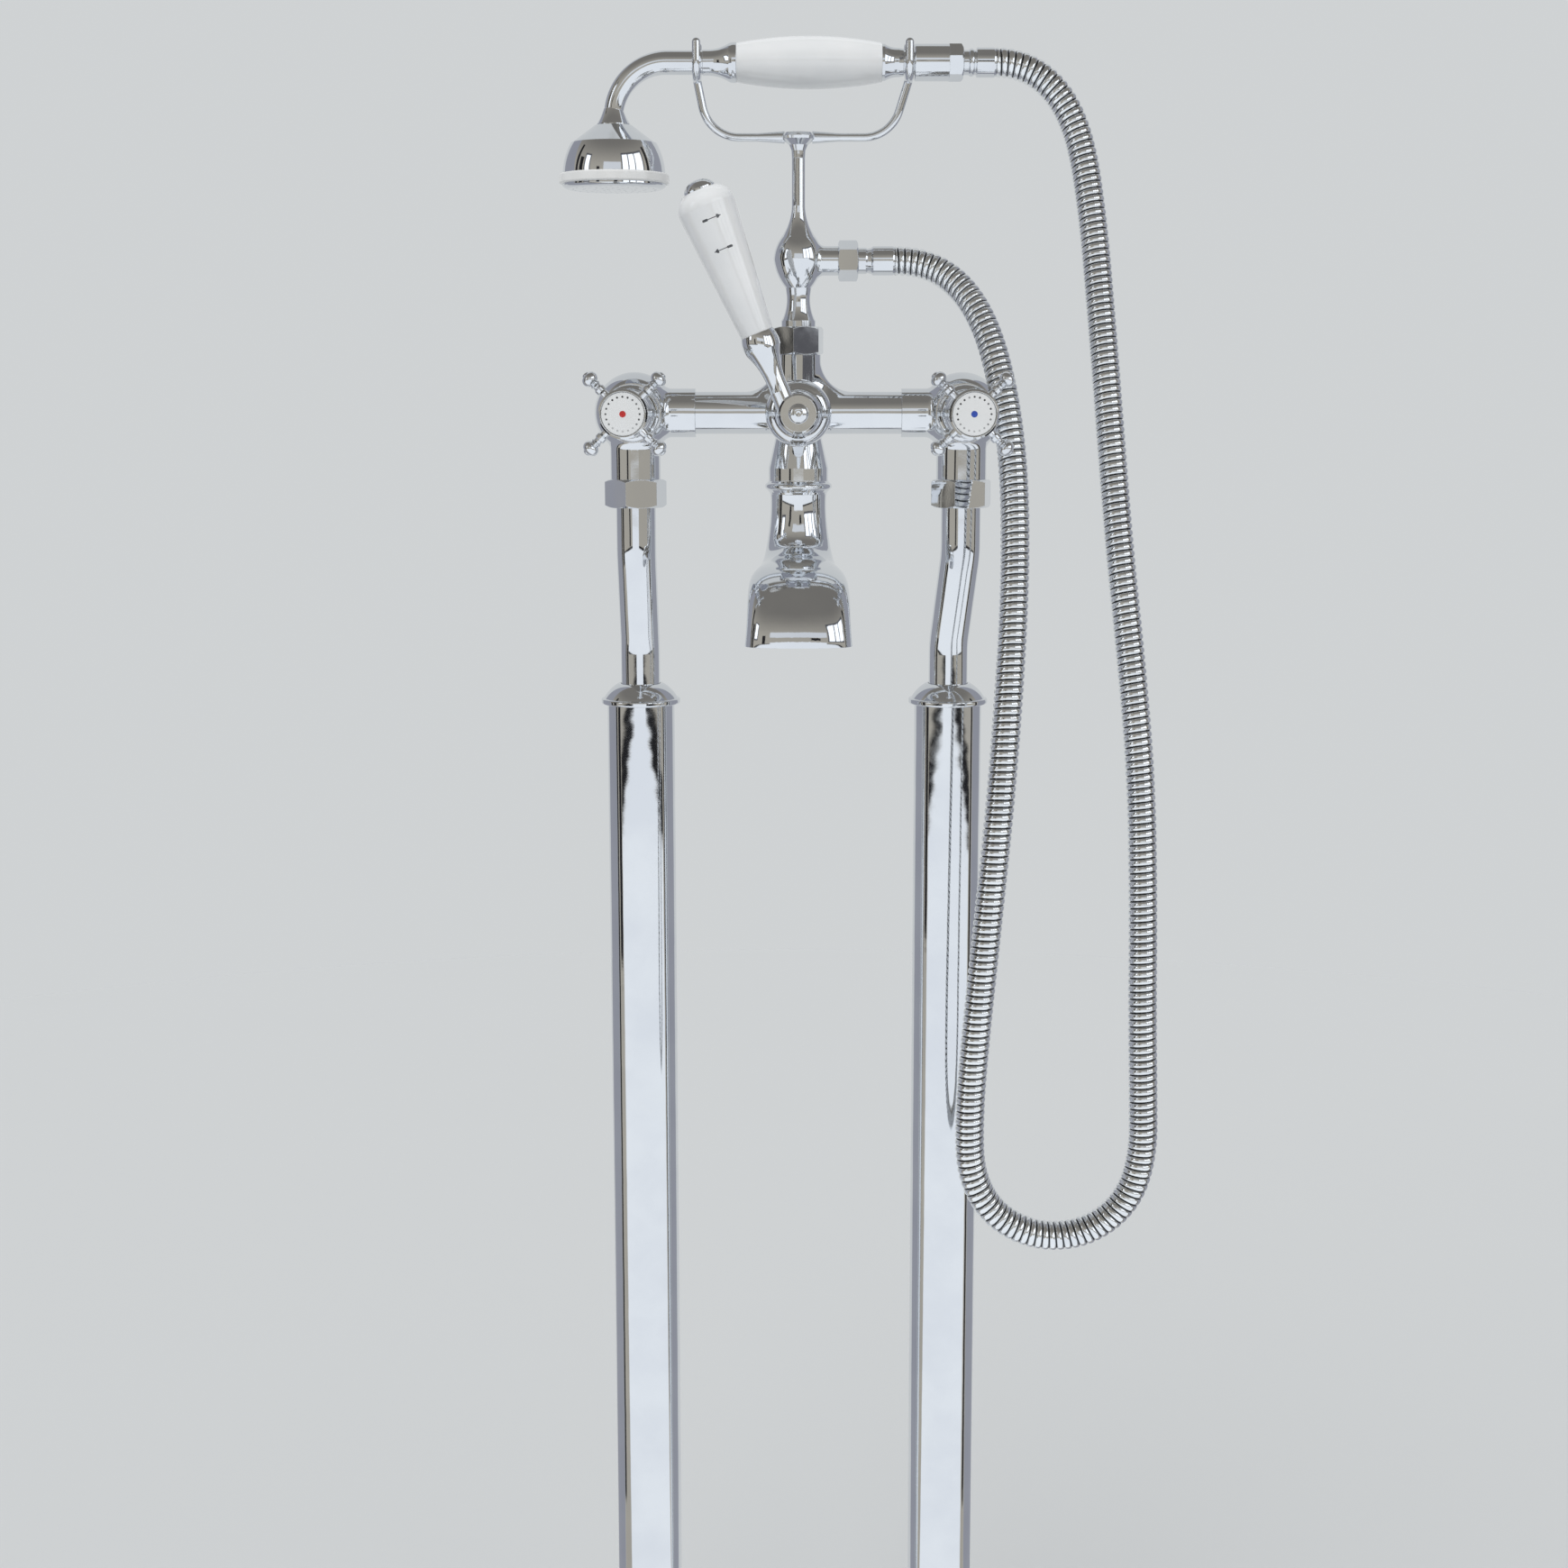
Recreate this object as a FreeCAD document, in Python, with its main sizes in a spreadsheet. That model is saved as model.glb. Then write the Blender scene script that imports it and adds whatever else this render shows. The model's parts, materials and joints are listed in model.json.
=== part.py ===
import FreeCAD, Part
import math
import os
import Sketcher

# Floor-standing bath and shower mixer on two standpipes.
# The frame: origin on the floor midway between the two feet, +Z up,
# +X to the cold side, -Y towards the bath and the person who uses the tap.

NAME = "bath_filler_tap"
Vector = FreeCAD.Vector

# Driving dimensions, in millimetres and degrees
SIZES = {
    # Placing
    "inlet_centres": 180.0,
    "feet_centres": 174.0,
    "mixer_shift": 2.3,
    "mixer_lead": 13.0,
    "mixer_height": 830.6,
    # Clearances
    "slip_gap": 0.15,
    "free_gap": 0.3,
    "running_gap": 0.05,
    "face_gap": 0.1,
    "nut_gap": 0.2,
    # Rounded edges, and the small flat at the top of a dome
    "edge": 2.0,
    "small_edge": 1.0,
    "fine_edge": 0.5,
    "dome_flat": 0.8,
    # Floor flange and inlet fitting
    "flange_radius": 42.0,
    "flange_thickness": 5.0,
    "flange_hub_wall": 4.0,
    "flange_hub_height": 16.0,
    "flange_hub_foot": 3.0,
    "shroud_seat_depth": 1.0,
    "floor_screw_offset": 23.0,
    "floor_screw_hole": 5.5,
    "inlet_thread_radius": 12.06,
    "inlet_thread_length": 15.0,
    "inlet_floor": 5.0,
    "inlet_body_radius": 16.0,
    "inlet_neck_step": 2.0,
    "socket_depth": 14.0,
    # Shroud and its collar
    "shroud_diameter": 38.0,
    "shroud_wall": 1.5,
    "shroud_drop": 162.6,
    "collar_brim": 22.3,
    "collar_rim_height": 3.2,
    "collar_height": 11.5,
    "collar_skirt_depth": 9.0,
    "collar_skirt_wall": 2.0,
    "collar_neck_wall": 1.3,
    # Pipes
    "pipe_diameter": 22.0,
    "pipe_wall": 0.9,
    "coupling_drop": 68.0,
    "coupling_length": 40.0,
    "coupling_wall": 2.4,
    "coupling_stop": 2.0,
    "crank_rise": 34.0,
    "crank_drop": 26.0,
    "crank_bend": 42.0,
    # Union under each valve
    "union_flats": 30.0,
    "union_height": 15.4,
    "union_top": 36.2,
    "union_lip": 2.6,
    "pipe_flange_height": 2.5,
    "washer_height": 2.0,
    "union_thread_radius": 13.2,
    # Valve body
    "globe_radius": 22.2,
    "inlet_tube_radius": 13.85,
    "socket_radius": 13.3,
    "socket_length": 33.5,
    "spigot_length": 8.0,
    "valve_blend": 5.5,
    "spigot_wall": 1.9,
    "waterway_radius": 8.0,
    "boss_radius": 16.0,
    "boss_front": 25.0,
    # Valve works
    "cartridge_radius": 10.4,
    "cartridge_back": 4.0,
    "cartridge_head_radius": 11.5,
    "cartridge_head_height": 6.0,
    "cartridge_guide_radius": 6.5,
    "cartridge_front": 50.0,
    "bonnet_radius": 15.4,
    "bonnet_front": 60.0,
    "bonnet_neck_radius": 10.6,
    "bonnet_collar_height": 4.0,
    "bonnet_shoulder_height": 17.0,
    "bonnet_head_height": 5.0,
    "spindle_radius": 4.0,
    "spindle_back": 30.0,
    # Cross head
    "crosshead_back": 60.8,
    "crosshead_front": 93.0,
    "crosshead_hub_radius": 9.4,
    "bezel_radius": 12.8,
    "bezel_depth": 6.0,
    "arm_plane": 79.0,
    "arm_reach": 29.0,
    "arm_radius": 2.1,
    "arm_root_radius": 2.6,
    "arm_bead_radius": 2.9,
    "arm_bead_place": 7.9,
    "arm_tip_length": 7.0,
    "hub_swell": 2.4,
    "index_radius": 11.2,
    "index_thickness": 2.3,
    "screw_pocket_depth": 5.0,
    "screw_head_radius": 4.6,
    "screw_head_height": 4.0,
    "screw_shank_radius": 2.0,
    "screw_length": 11.0,
    "hub_web": 3.0,
    "spindle_tapped_depth": 12.0,
    # Mixer body
    "cross_tube_radius": 11.5,
    "lower_body_radius": 16.5,
    "lower_body_depth": 36.6,
    "upper_body_radius": 12.4,
    "upper_body_height": 31.4,
    "upper_thread_radius": 10.4,
    "upper_thread_height": 7.0,
    "corner_blend": 17.0,
    "lower_bore_radius": 12.0,
    "upper_bore_radius": 7.0,
    "lower_bore_top": 4.0,
    "upper_bore_foot": 8.0,
    "diverter_boss_radius": 18.0,
    "diverter_boss_front": 24.0,
    # Diverter
    "diverter_cartridge_radius": 10.8,
    "diverter_back": 3.0,
    "diverter_guide_step": 2.0,
    "diverter_guide_length": 8.0,
    "diverter_bonnet_rim": 2.5,
    "diverter_bonnet_step": 4.5,
    "diverter_bonnet_front": 38.0,
    "lever_plane": 52.0,
    "lever_hub_radius": 10.5,
    "lever_hub_front": 10.0,
    "lever_lean": 22.0,
    "lever_offset": 4.7,
    "lever_stem_length": 46.5,
    "lever_grip_length": 79.0,
    "lever_grip_foot": 8.75,
    "lever_grip_top": 15.5,
    "lever_cap_radius": 8.6,
    "lever_cap_height": 5.7,
    "lever_rod_radius": 3.0,
    "lever_rod_grip": 10.0,
    "lever_rod_end": 2.0,
    "lever_neck_radius": 5.4,
    "lever_ferrule_radius": 9.6,
    "lever_ferrule_length": 9.0,
    "lever_grip_shoulder": 9.0,
    "lever_screw_head": 5.3,
    "lever_screw_dome": 3.0,
    "lever_screw_length": 13.0,
    "lever_hub_floor": 5.0,
    # Spout
    "ring_radius": 17.3,
    "ring_height": 7.6,
    "ring_bead_foot": 2.4,
    "spout_neck_radius": 15.6,
    "spout_reach": 74.0,
    "spout_drop": 76.4,
    "spout_half_width": 28.4,
    "spout_half_depth": 16.5,
    "spout_wall": 2.4,
    # Riser
    "riser_nut_flats": 25.0,
    "riser_nut_height": 14.8,
    "riser_nut_lip": 3.2,
    "riser_foot_radius": 9.45,
    "riser_flange_height": 2.6,
    "riser_waist_radius": 6.5,
    "riser_waist_drop": 19.3,
    "riser_foot_length": 9.0,
    "riser_swell": 0.6,
    "riser_swell_length": 4.0,
    "riser_bore": 4.8,
    "bulb_radius": 13.6,
    "bulb_height": 82.6,
    "stem_radius": 3.6,
    "stem_foot_rise": 16.4,
    "stem_length": 25.0,
    "bulb_shoulder_radius": 9.25,
    "bulb_shoulder_length": 12.0,
    "cradle_pin_radius": 2.2,
    "cradle_pin_length": 6.0,
    "branch_radius": 7.9,
    "branch_drop": 0.8,
    "branch_reach": 21.6,
    "branch_bore": 5.2,
    "branch_thread_radius": 7.6,
    "branch_thread_length": 5.5,
    "branch_blend": 4.0,
    # Hose outlet
    "outlet_nut_flats": 19.0,
    "outlet_nut_length": 10.8,
    "outlet_nut_lip": 2.4,
    "outlet_flange_length": 2.3,
    "outlet_neck_radius": 5.6,
    "outlet_groove_place": 4.0,
    "hose_tail_bore": 3.6,
    "outlet_collar_radius": 7.0,
    "outlet_collar_length": 7.0,
    "ferrule_radius": 7.8,
    "ferrule_length": 12.8,
    "non_return_bore": 1.6,
    "non_return_length": 12.0,
    "non_return_nose": 3.6,
    # Cradle
    "rod_radius": 2.3,
    "cradle_bar_rise": 11.0,
    "cradle_bar_bend": 20.0,
    "fork_rise": 39.0,
    "fork_left_gap": 3.15,
    "fork_groove_place": 2.95,
    "prong_rise": 9.5,
    "cradle_bar_swell": 1.1,
    "cradle_bar_taper": 14.5,
    "cradle_foot_left": -48.5,
    "cradle_foot_right": 50.0,
    "cradle_hub_radius": 9.5,
    "cradle_hub_neck": 5.2,
    "cradle_hub_crown": 3.4,
    # Handset
    "handset_neck_radius": 6.4,
    "grip_centre": 5.7,
    "grip_length": 78.3,
    "grip_end_radius": 10.2,
    "grip_middle_radius": 13.85,
    "core_radius": 5.2,
    "core_bore": 3.6,
    "core_thread_length": 12.0,
    "neck_lip": 0.4,
    "front_ferrule_collar": 2.0,
    "front_ferrule_rim": 4.0,
    "front_ferrule_length": 18.0,
    "front_ferrule_radius": 10.5,
    "rear_ferrule_length": 11.6,
    "rear_ferrule_radius": 9.6,
    "rear_ferrule_rim": 1.5,
    "rear_ferrule_foot": 2.5,
    "rear_groove_length": 5.8,
    "hose_nut_radius": 9.75,
    "hose_nut_length": 26.2,
    "hose_nut_flats": 17.2,
    "hose_nut_hex_length": 7.5,
    "swivel_radius": 7.0,
    "swivel_length": 6.5,
    "swivel_bead_place": 3.2,
    "swivel_bead_length": 2.0,
    "swivel_ferrule": 10.8,
    "swivel_bore": 3.0,
    "swivel_spigot_radius": 4.6,
    "swivel_spigot_length": 8.0,
    "rose_centre": -99.8,
    "neck_bend": 29.0,
    "neck_end_radius": 5.2,
    "neck_end_length": 3.0,
    "neck_skirt_radius": 9.1,
    "neck_skirt_length": 8.8,
    "neck_tenon_length": 10.0,
    "rose_crown_radius": 10.2,
    "rose_radius": 27.8,
    "rose_top_drop": 32.8,
    "rose_socket_depth": 4.0,
    "rose_shoulder_drop": 9.3,
    "rose_shoulder_radius": 22.8,
    "rose_flank_drop": 17.0,
    "rose_shell_drop": 58.3,
    "rose_ring_radius": 29.8,
    "rose_ring_height": 5.4,
    "rose_plate_radius": 28.0,
    "rose_plate_depth": 3.2,
    "rose_wall": 1.6,
    "rose_hole_radius": 0.6,
    "rose_hole_rings": 4,
    # Hose
    "hose_radius": 7.8,
    "hose_rib_depth": 0.9,
    "hose_bore_radius": 5.6,
    "hose_rib_pitch": 7.6,
}

HEX_CORNER = 2.0 / math.sqrt(3.0)
NUT_CHAMFER = 0.045

# The bulge of an arc is the tangent of a quarter of its angle, minus where it curves inward
QUARTER_TURN = math.tan(math.radians(90.0) / 4.0)
HALF_TURN = 1.0
ROUND = 0.3
HOLLOW = -0.3
SLIGHT_ROUND = 0.15
SLIGHT_HOLLOW = -0.15
ROSE_ROUND = -0.12
SKIRT_FLARE = 0.42

# Rotations that turn a piece's own axis from +Z to another direction
UPRIGHT = FreeCAD.Rotation(0, 0, 0)
TO_FRONT = FreeCAD.Rotation(Vector(1, 0, 0), 90)
TO_RIGHT = FreeCAD.Rotation(Vector(0, 1, 0), 90)


class Size:
    """A length worked out from the sheet: its expression and its value."""

    def __init__(self, text, value):
        self.text = text
        self.value = value

    def __add__(self, other):
        return combined(self, "+", other, self.value + number(other))

    def __radd__(self, other):
        return combined(other, "+", self, number(other) + self.value)

    def __sub__(self, other):
        return combined(self, "-", other, self.value - number(other))

    def __rsub__(self, other):
        return combined(other, "-", self, number(other) - self.value)

    def __mul__(self, other):
        return combined(self, "*", other, self.value * number(other))

    def __rmul__(self, other):
        return combined(other, "*", self, number(other) * self.value)

    def __truediv__(self, other):
        return combined(self, "/", other, self.value / number(other))

    def __neg__(self):
        return combined(0, "-", self, -self.value)


def number(item):
    return item.value if isinstance(item, Size) else float(item)


def text(item):
    return item.text if isinstance(item, Size) else repr(float(item))


def combined(first, sign, second, value):
    return Size("(%s %s %s)" % (text(first), sign, text(second)), value)


def make_sheet(doc):
    sheet = doc.addObject("Spreadsheet::Sheet", "sizes")
    for row, (alias, value) in enumerate(SIZES.items(), start=1):
        sheet.set("A%d" % row, alias)
        sheet.set("B%d" % row, str(value))
        sheet.setAlias("B%d" % row, alias)
    doc.recompute()
    return sheet


doc = FreeCAD.newDocument(NAME)
sheet = make_sheet(doc)
nodes = []


def size(alias):
    return Size("sizes." + alias, float(getattr(sheet, alias)))


def bind(item, path, value):
    """Ties a property to the sheet, or leaves a plain number as it is."""
    if isinstance(value, Size):
        item.setExpression(path, value.text)


def place(item, at, rotation=UPRIGHT):
    item.Placement = FreeCAD.Placement(Vector(*[number(part) for part in at]), rotation)
    for axis, value in zip("xyz", at):
        bind(item, "Placement.Base." + axis, value)


def keep(item, label):
    """Names a finished sub-part, which is written to its own file."""
    item.Label = label
    nodes.append(item)
    return item


# Sketch and feature helpers
def datum(body, role):
    return [item for item in body.Origin.OriginFeatures if item.Role == role][0]


def corner_constraints(sketch, index, point, corner):
    for kind, value in (("DistanceX", corner[0]), ("DistanceY", corner[1])):
        made = sketch.addConstraint(Sketcher.Constraint(kind, -1, 1, index, point, number(value)))
        bind(sketch, "Constraints[%d]" % made, value)


def arc_middle(start, end, bulge):
    """The middle of an arc; a bulge is the tangent of a quarter of the arc's angle."""
    across = end[0] - start[0]
    along = end[1] - start[1]
    middle_x = (start[0] + end[0]) / 2 + along * (bulge / 2)
    middle_y = (start[1] + end[1]) / 2 - across * (bulge / 2)
    return (middle_x, middle_y)


def add_edge(sketch, start, end, bulge):
    """Adds a line or an arc and says which of its two points is the start."""
    first = Vector(number(start[0]), number(start[1]), 0)
    last = Vector(number(end[0]), number(end[1]), 0)
    if not bulge:
        return sketch.addGeometry(Part.LineSegment(first, last), False), 1, 2
    middle = arc_middle(start, end, bulge)
    through = Vector(number(middle[0]), number(middle[1]), 0)
    edge = sketch.addGeometry(Part.Arc(first, through, last), False)
    forward = sketch.getPoint(edge, 1).distanceToPoint(first) < 1e-6
    marker = sketch.addGeometry(Part.Point(through), True)
    corner_constraints(sketch, marker, 1, middle)
    sketch.addConstraint(Sketcher.Constraint("PointOnObject", marker, 1, edge))
    return (edge, 1, 2) if forward else (edge, 2, 1)


def outline(body, name, corners, role="XZ_Plane", lift=None):
    """A closed outline. A corner is (x, y) or (x, y, bulge of the edge that leaves it)."""
    sketch = body.newObject("Sketcher::SketchObject", name)
    sketch.AttachmentSupport = [(datum(body, role), "")]
    sketch.MapMode = "FlatFace"
    if lift is not None:
        sketch.AttachmentOffset = FreeCAD.Placement(
            Vector(*[number(part) for part in lift]), UPRIGHT)
        for axis, value in zip("xyz", lift):
            bind(sketch, "AttachmentOffset.Base." + axis, value)
    edges = []
    for index, corner in enumerate(corners):
        following = corners[(index + 1) % len(corners)]
        bulge = corner[2] if len(corner) > 2 else 0
        edges.append(add_edge(sketch, corner[:2], following[:2], bulge))
    for index, (edge, first, _) in enumerate(edges):
        before, _, last = edges[index - 1]
        sketch.addConstraint(Sketcher.Constraint("Coincident", before, last, edge, first))
        corner_constraints(sketch, edge, first, corners[index])
    return sketch


def disc_sketch(body, name, radius, role, centre=(0, 0), lift=None):
    sketch = body.newObject("Sketcher::SketchObject", name)
    sketch.AttachmentSupport = [(datum(body, role), "")]
    sketch.MapMode = "FlatFace"
    if lift is not None:
        sketch.AttachmentOffset = FreeCAD.Placement(Vector(0, 0, number(lift)), UPRIGHT)
        bind(sketch, "AttachmentOffset.Base.z", lift)
    middle = Vector(number(centre[0]), number(centre[1]), 0)
    circle = sketch.addGeometry(Part.Circle(middle, Vector(0, 0, 1), number(radius)), False)
    made = sketch.addConstraint(Sketcher.Constraint("Radius", circle, number(radius)))
    bind(sketch, "Constraints[%d]" % made, radius)
    corner_constraints(sketch, circle, 3, centre)
    return sketch


def new_body(name):
    return doc.addObject("PartDesign::Body", name)


def revolve(body, name, corners, kind="Revolution", role="XZ_Plane", axis="V_Axis", lift=None):
    sketch = outline(body, name + "_outline", corners, role, lift)
    feature = body.newObject("PartDesign::" + kind, name)
    feature.Profile = sketch
    feature.ReferenceAxis = (sketch, [axis])
    feature.Angle = 360
    return feature


def extrude(body, name, sketch, length, kind="Pad", both_ways=False, reverse=False):
    feature = body.newObject("PartDesign::" + kind, name)
    feature.Profile = sketch
    feature.Length = number(length)
    bind(feature, "Length", length)
    feature.SideType = "Symmetric" if both_ways else "One side"
    feature.Reversed = reverse
    return feature


def turned(label, corners, at, rotation=UPRIGHT):
    """A turned piece: its half section (radius, height) goes round its own Z axis."""
    body = new_body(label + "_body")
    revolve(body, label + "_turn", corners)
    place(body, at, rotation)
    return body


def tube(outer, inner, low, high):
    return [(inner, low), (outer, low), (outer, high), (inner, high)]


def hex_prism(label, flats, length, at, rotation=UPRIGHT, phase=0.0):
    prism = doc.addObject("Part::Prism", label + "_prism")
    prism.Polygon = 6
    prism.Circumradius = number(flats) * HEX_CORNER / 2
    bind(prism, "Circumradius", flats * (HEX_CORNER / 2))
    prism.Height = number(length)
    bind(prism, "Height", length)
    place(prism, at, rotation * FreeCAD.Rotation(Vector(0, 0, 1), phase))
    return prism


def joined(kind, label, first, second):
    result = doc.addObject("Part::" + kind, label + "_" + kind.lower())
    result.Base = first
    result.Tool = second
    return result


def hex_nut(label, flats, height, corners_inside, at, rotation=UPRIGHT, phase=0.0):
    """A hexagon nut with chamfered ends; corners_inside is its bore, from the top down."""
    corner_radius = flats * (HEX_CORNER / 2)
    chamfer = flats * NUT_CHAMFER
    ends = [(flats / 2, 0), (corner_radius, chamfer),
            (corner_radius, height - chamfer), (flats / 2, height)]
    blank = turned(label + "_blank", ends + corners_inside, at, rotation)
    prism = hex_prism(label, flats, height, at, rotation, phase)
    return joined("Common", label, prism, blank)


# Swept pieces follow straight runs that tangent arcs join
def rounded_path(points, radii):
    """A wire through points, with an arc of its own radius at each inner point."""
    edges = []
    last = points[0]
    for index in range(1, len(points) - 1):
        before = (points[index - 1] - points[index]).normalize()
        after = (points[index + 1] - points[index]).normalize()
        turn = math.pi - before.getAngle(after)
        reach = radii[index - 1] * math.tan(turn / 2)
        start = points[index] + before * reach
        end = points[index] + after * reach
        inward = (before + after).normalize()
        depth = radii[index - 1] * (1 / math.cos(turn / 2) - 1)
        edges.append(Part.LineSegment(last, start).toShape())
        edges.append(Part.Arc(start, points[index] + inward * depth, end).toShape())
        last = end
    edges.append(Part.LineSegment(last, points[-1]).toShape())
    return Part.Wire(edges)


def ring_wire(centre, direction, radius):
    return Part.Wire([Part.makeCircle(radius, centre, direction)])


def rod_along(path, radius):
    start = path.Edges[0]
    direction = start.tangentAt(start.FirstParameter)
    circle = ring_wire(start.valueAt(start.FirstParameter), direction, radius)
    return path.makePipeShell([circle], True, False)


def shape_feature(label, shape):
    item = doc.addObject("Part::Feature", label + "_shape")
    item.Shape = shape
    return item


# The sheet's values by short names, for the sections below
slip = size("slip_gap")
free = size("free_gap")
running = size("running_gap")
pipe_radius = size("pipe_diameter") / 2
mixer_x = size("mixer_shift")
mixer_y = -size("mixer_lead")
axis_z = size("mixer_height")
SIDES = (("hot", -1), ("cold", 1))


def foot_x(side):
    return size("feet_centres") * (side * 0.5)


def valve_x(side):
    return mixer_x + size("inlet_centres") * (side * 0.5)


# Standpipe: floor flange, inlet fitting, supply pipe, shroud and collar
def shroud_top():
    return axis_z - size("shroud_drop")


def coupling_middle():
    return shroud_top() - size("coupling_drop")


def flange_seat():
    """Where the shroud and the inlet fitting's collar stand in the flange."""
    return size("flange_thickness") - size("shroud_seat_depth")


def shroud_bore():
    return size("shroud_diameter") / 2 - size("shroud_wall")


def make_floor_flange(name, side):
    radius = size("flange_radius")
    thickness = size("flange_thickness")
    edge = size("edge")
    small = size("small_edge")
    bore = size("inlet_body_radius") + slip
    socket = size("shroud_diameter") / 2 + slip
    hub = socket + size("flange_hub_wall")
    foot = size("flange_hub_foot")
    height = size("flange_hub_height")
    body = new_body(name + "_body")
    revolve(body, name + "_turn", [
        (bore, 0), (radius, 0), (radius, thickness - edge, QUARTER_TURN),
        (radius - edge, thickness), (hub + foot, thickness + small, HOLLOW),
        (hub, thickness + small + foot), (hub, height - small, QUARTER_TURN),
        (hub - small, height), (socket, height), (socket, flange_seat()),
        (bore, flange_seat())])
    offset = size("floor_screw_offset")
    through = thickness * 6
    for hole_index, (right, back) in enumerate(((1, 1), (-1, 1), (-1, -1), (1, -1))):
        label = "%s_screw_hole_%d" % (name, hole_index)
        hole = disc_sketch(body, label + "_circle", size("floor_screw_hole") / 2, "XY_Plane",
                           (offset * right, offset * back))
        extrude(body, label, hole, through, "Pocket", both_ways=True)
    place(body, (foot_x(side), 0, 0))
    return body


def make_inlet_fitting(name, at):
    """The threaded inlet at the floor, with a socket for the supply pipe on top."""
    thread = size("inlet_thread_radius")
    thread_end = size("inlet_thread_length")
    outer = size("inlet_body_radius")
    wide = shroud_bore() - free
    neck = outer - size("inlet_neck_step")
    small = size("small_edge")
    waterway = size("waterway_radius")
    pipe_socket = pipe_radius + running
    top = socket_floor() + size("socket_depth")
    return turned(name, [
        (thread, 0), (outer, 0), (outer, flange_seat()), (wide, flange_seat()),
        (wide, thread_end - small), (neck, thread_end + small), (neck, top),
        (pipe_socket, top), (pipe_socket, socket_floor()), (waterway, socket_floor()),
        (waterway, thread_end), (thread, thread_end)], at)


def socket_floor():
    return size("inlet_thread_length") + size("inlet_floor")


def make_coupling(name, at):
    """A sleeve with a stop in its middle, where two pipe ends meet."""
    middle = coupling_middle()
    half = size("coupling_length") / 2
    half_stop = size("coupling_stop") / 2
    socket = pipe_radius + running
    stop = pipe_radius - size("pipe_wall")
    sleeve = pipe_radius + size("coupling_wall")
    return turned(name, [
        (socket, middle - half), (sleeve, middle - half), (sleeve, middle + half),
        (socket, middle + half), (socket, middle + half_stop), (stop, middle + half_stop),
        (stop, middle - half_stop), (socket, middle - half_stop)], at)


def make_collar(name, at):
    """A brim with a shallow dome round the pipe, and a skirt inside the shroud."""
    brim = size("collar_brim")
    low = shroud_top()
    small = size("small_edge")
    rim_top = low + size("collar_rim_height")
    top = low + size("collar_height")
    skirt = shroud_bore() - slip
    skirt_foot = low - size("collar_skirt_depth")
    skirt_bore = skirt - size("collar_skirt_wall")
    bore = pipe_radius + free
    return turned(name, [
        (skirt, skirt_foot), (skirt, low), (brim - small, low, QUARTER_TURN),
        (brim, low + small), (brim, rim_top - small, QUARTER_TURN), (brim - small, rim_top),
        (brim - small - size("fine_edge"), rim_top, SLIGHT_ROUND),
        (bore + size("collar_neck_wall"), top), (bore, top), (bore, low + small * 2),
        (skirt_bore, low - small), (skirt_bore, skirt_foot)], at)


def make_standpipe(name, side):
    at = (foot_x(side), 0, 0)
    shroud_radius = size("shroud_diameter") / 2
    face = size("face_gap")
    pipe_foot = socket_floor() + face
    pipe_top = coupling_middle() - size("coupling_stop") / 2 - face
    keep(make_floor_flange("flange_" + name, side), "floor_flange_" + name)
    keep(make_inlet_fitting("inlet_" + name, at), "inlet_fitting_" + name)
    keep(turned("supply_" + name, tube(
        pipe_radius, pipe_radius - size("pipe_wall"), pipe_foot, pipe_top), at),
        "supply_pipe_" + name)
    keep(make_coupling("coupling_" + name, at), "pipe_coupling_" + name)
    keep(turned("shroud_" + name, tube(
        shroud_radius, shroud_bore(), flange_seat(), shroud_top()), at),
        "pipe_shroud_" + name)
    keep(make_collar("collar_" + name, at), "shroud_collar_" + name)


def make_cranked_pipe(name, side):
    """The pipe leads forward and sideways from the foot to the valve's inlet."""
    foot = Vector(number(foot_x(side)), 0, 0)
    head = Vector(number(valve_x(side)), number(mixer_y), 0)
    bottom = number(coupling_middle() + size("coupling_stop") / 2 + size("face_gap"))
    low_bend = number(shroud_top() + size("crank_rise"))
    high_bend = number(union_foot() - size("crank_drop"))
    flange_low = number(union_seat())
    flange_high = flange_low + number(size("pipe_flange_height"))
    heights = (bottom, low_bend, high_bend, flange_high)
    points = []
    for place_of_point, height in zip((foot, foot, head, head), heights):
        points.append(Vector(place_of_point.x, place_of_point.y, height))
    bend = number(size("crank_bend"))
    path = rounded_path(points, [bend, bend])
    outer = number(pipe_radius)
    solid = rod_along(path, outer)
    flange = Part.makeCylinder(number(union_bore()) - number(slip), flange_high - flange_low,
                               Vector(head.x, head.y, flange_low))
    hollow = rod_along(path, outer - number(size("pipe_wall")))
    return shape_feature(name, solid.fuse(flange).removeSplitter().cut(hollow))


# Union between the cranked pipe and the valve's inlet
def union_foot():
    return axis_z - size("union_top") - size("union_height")


def union_seat():
    return union_foot() + size("union_lip")


def union_bore():
    return size("union_thread_radius") + slip


def valve_foot():
    return union_seat() + size("pipe_flange_height") + size("washer_height")


def make_union_nut(name, side):
    height = size("union_height")
    lip = size("union_lip")
    inside = [(union_bore(), height), (union_bore(), lip),
              (pipe_radius + free, lip), (pipe_radius + free, 0)]
    at = (valve_x(side), mixer_y, union_foot())
    return hex_nut(name, size("union_flats"), height, inside, at, phase=75.0)


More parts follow.
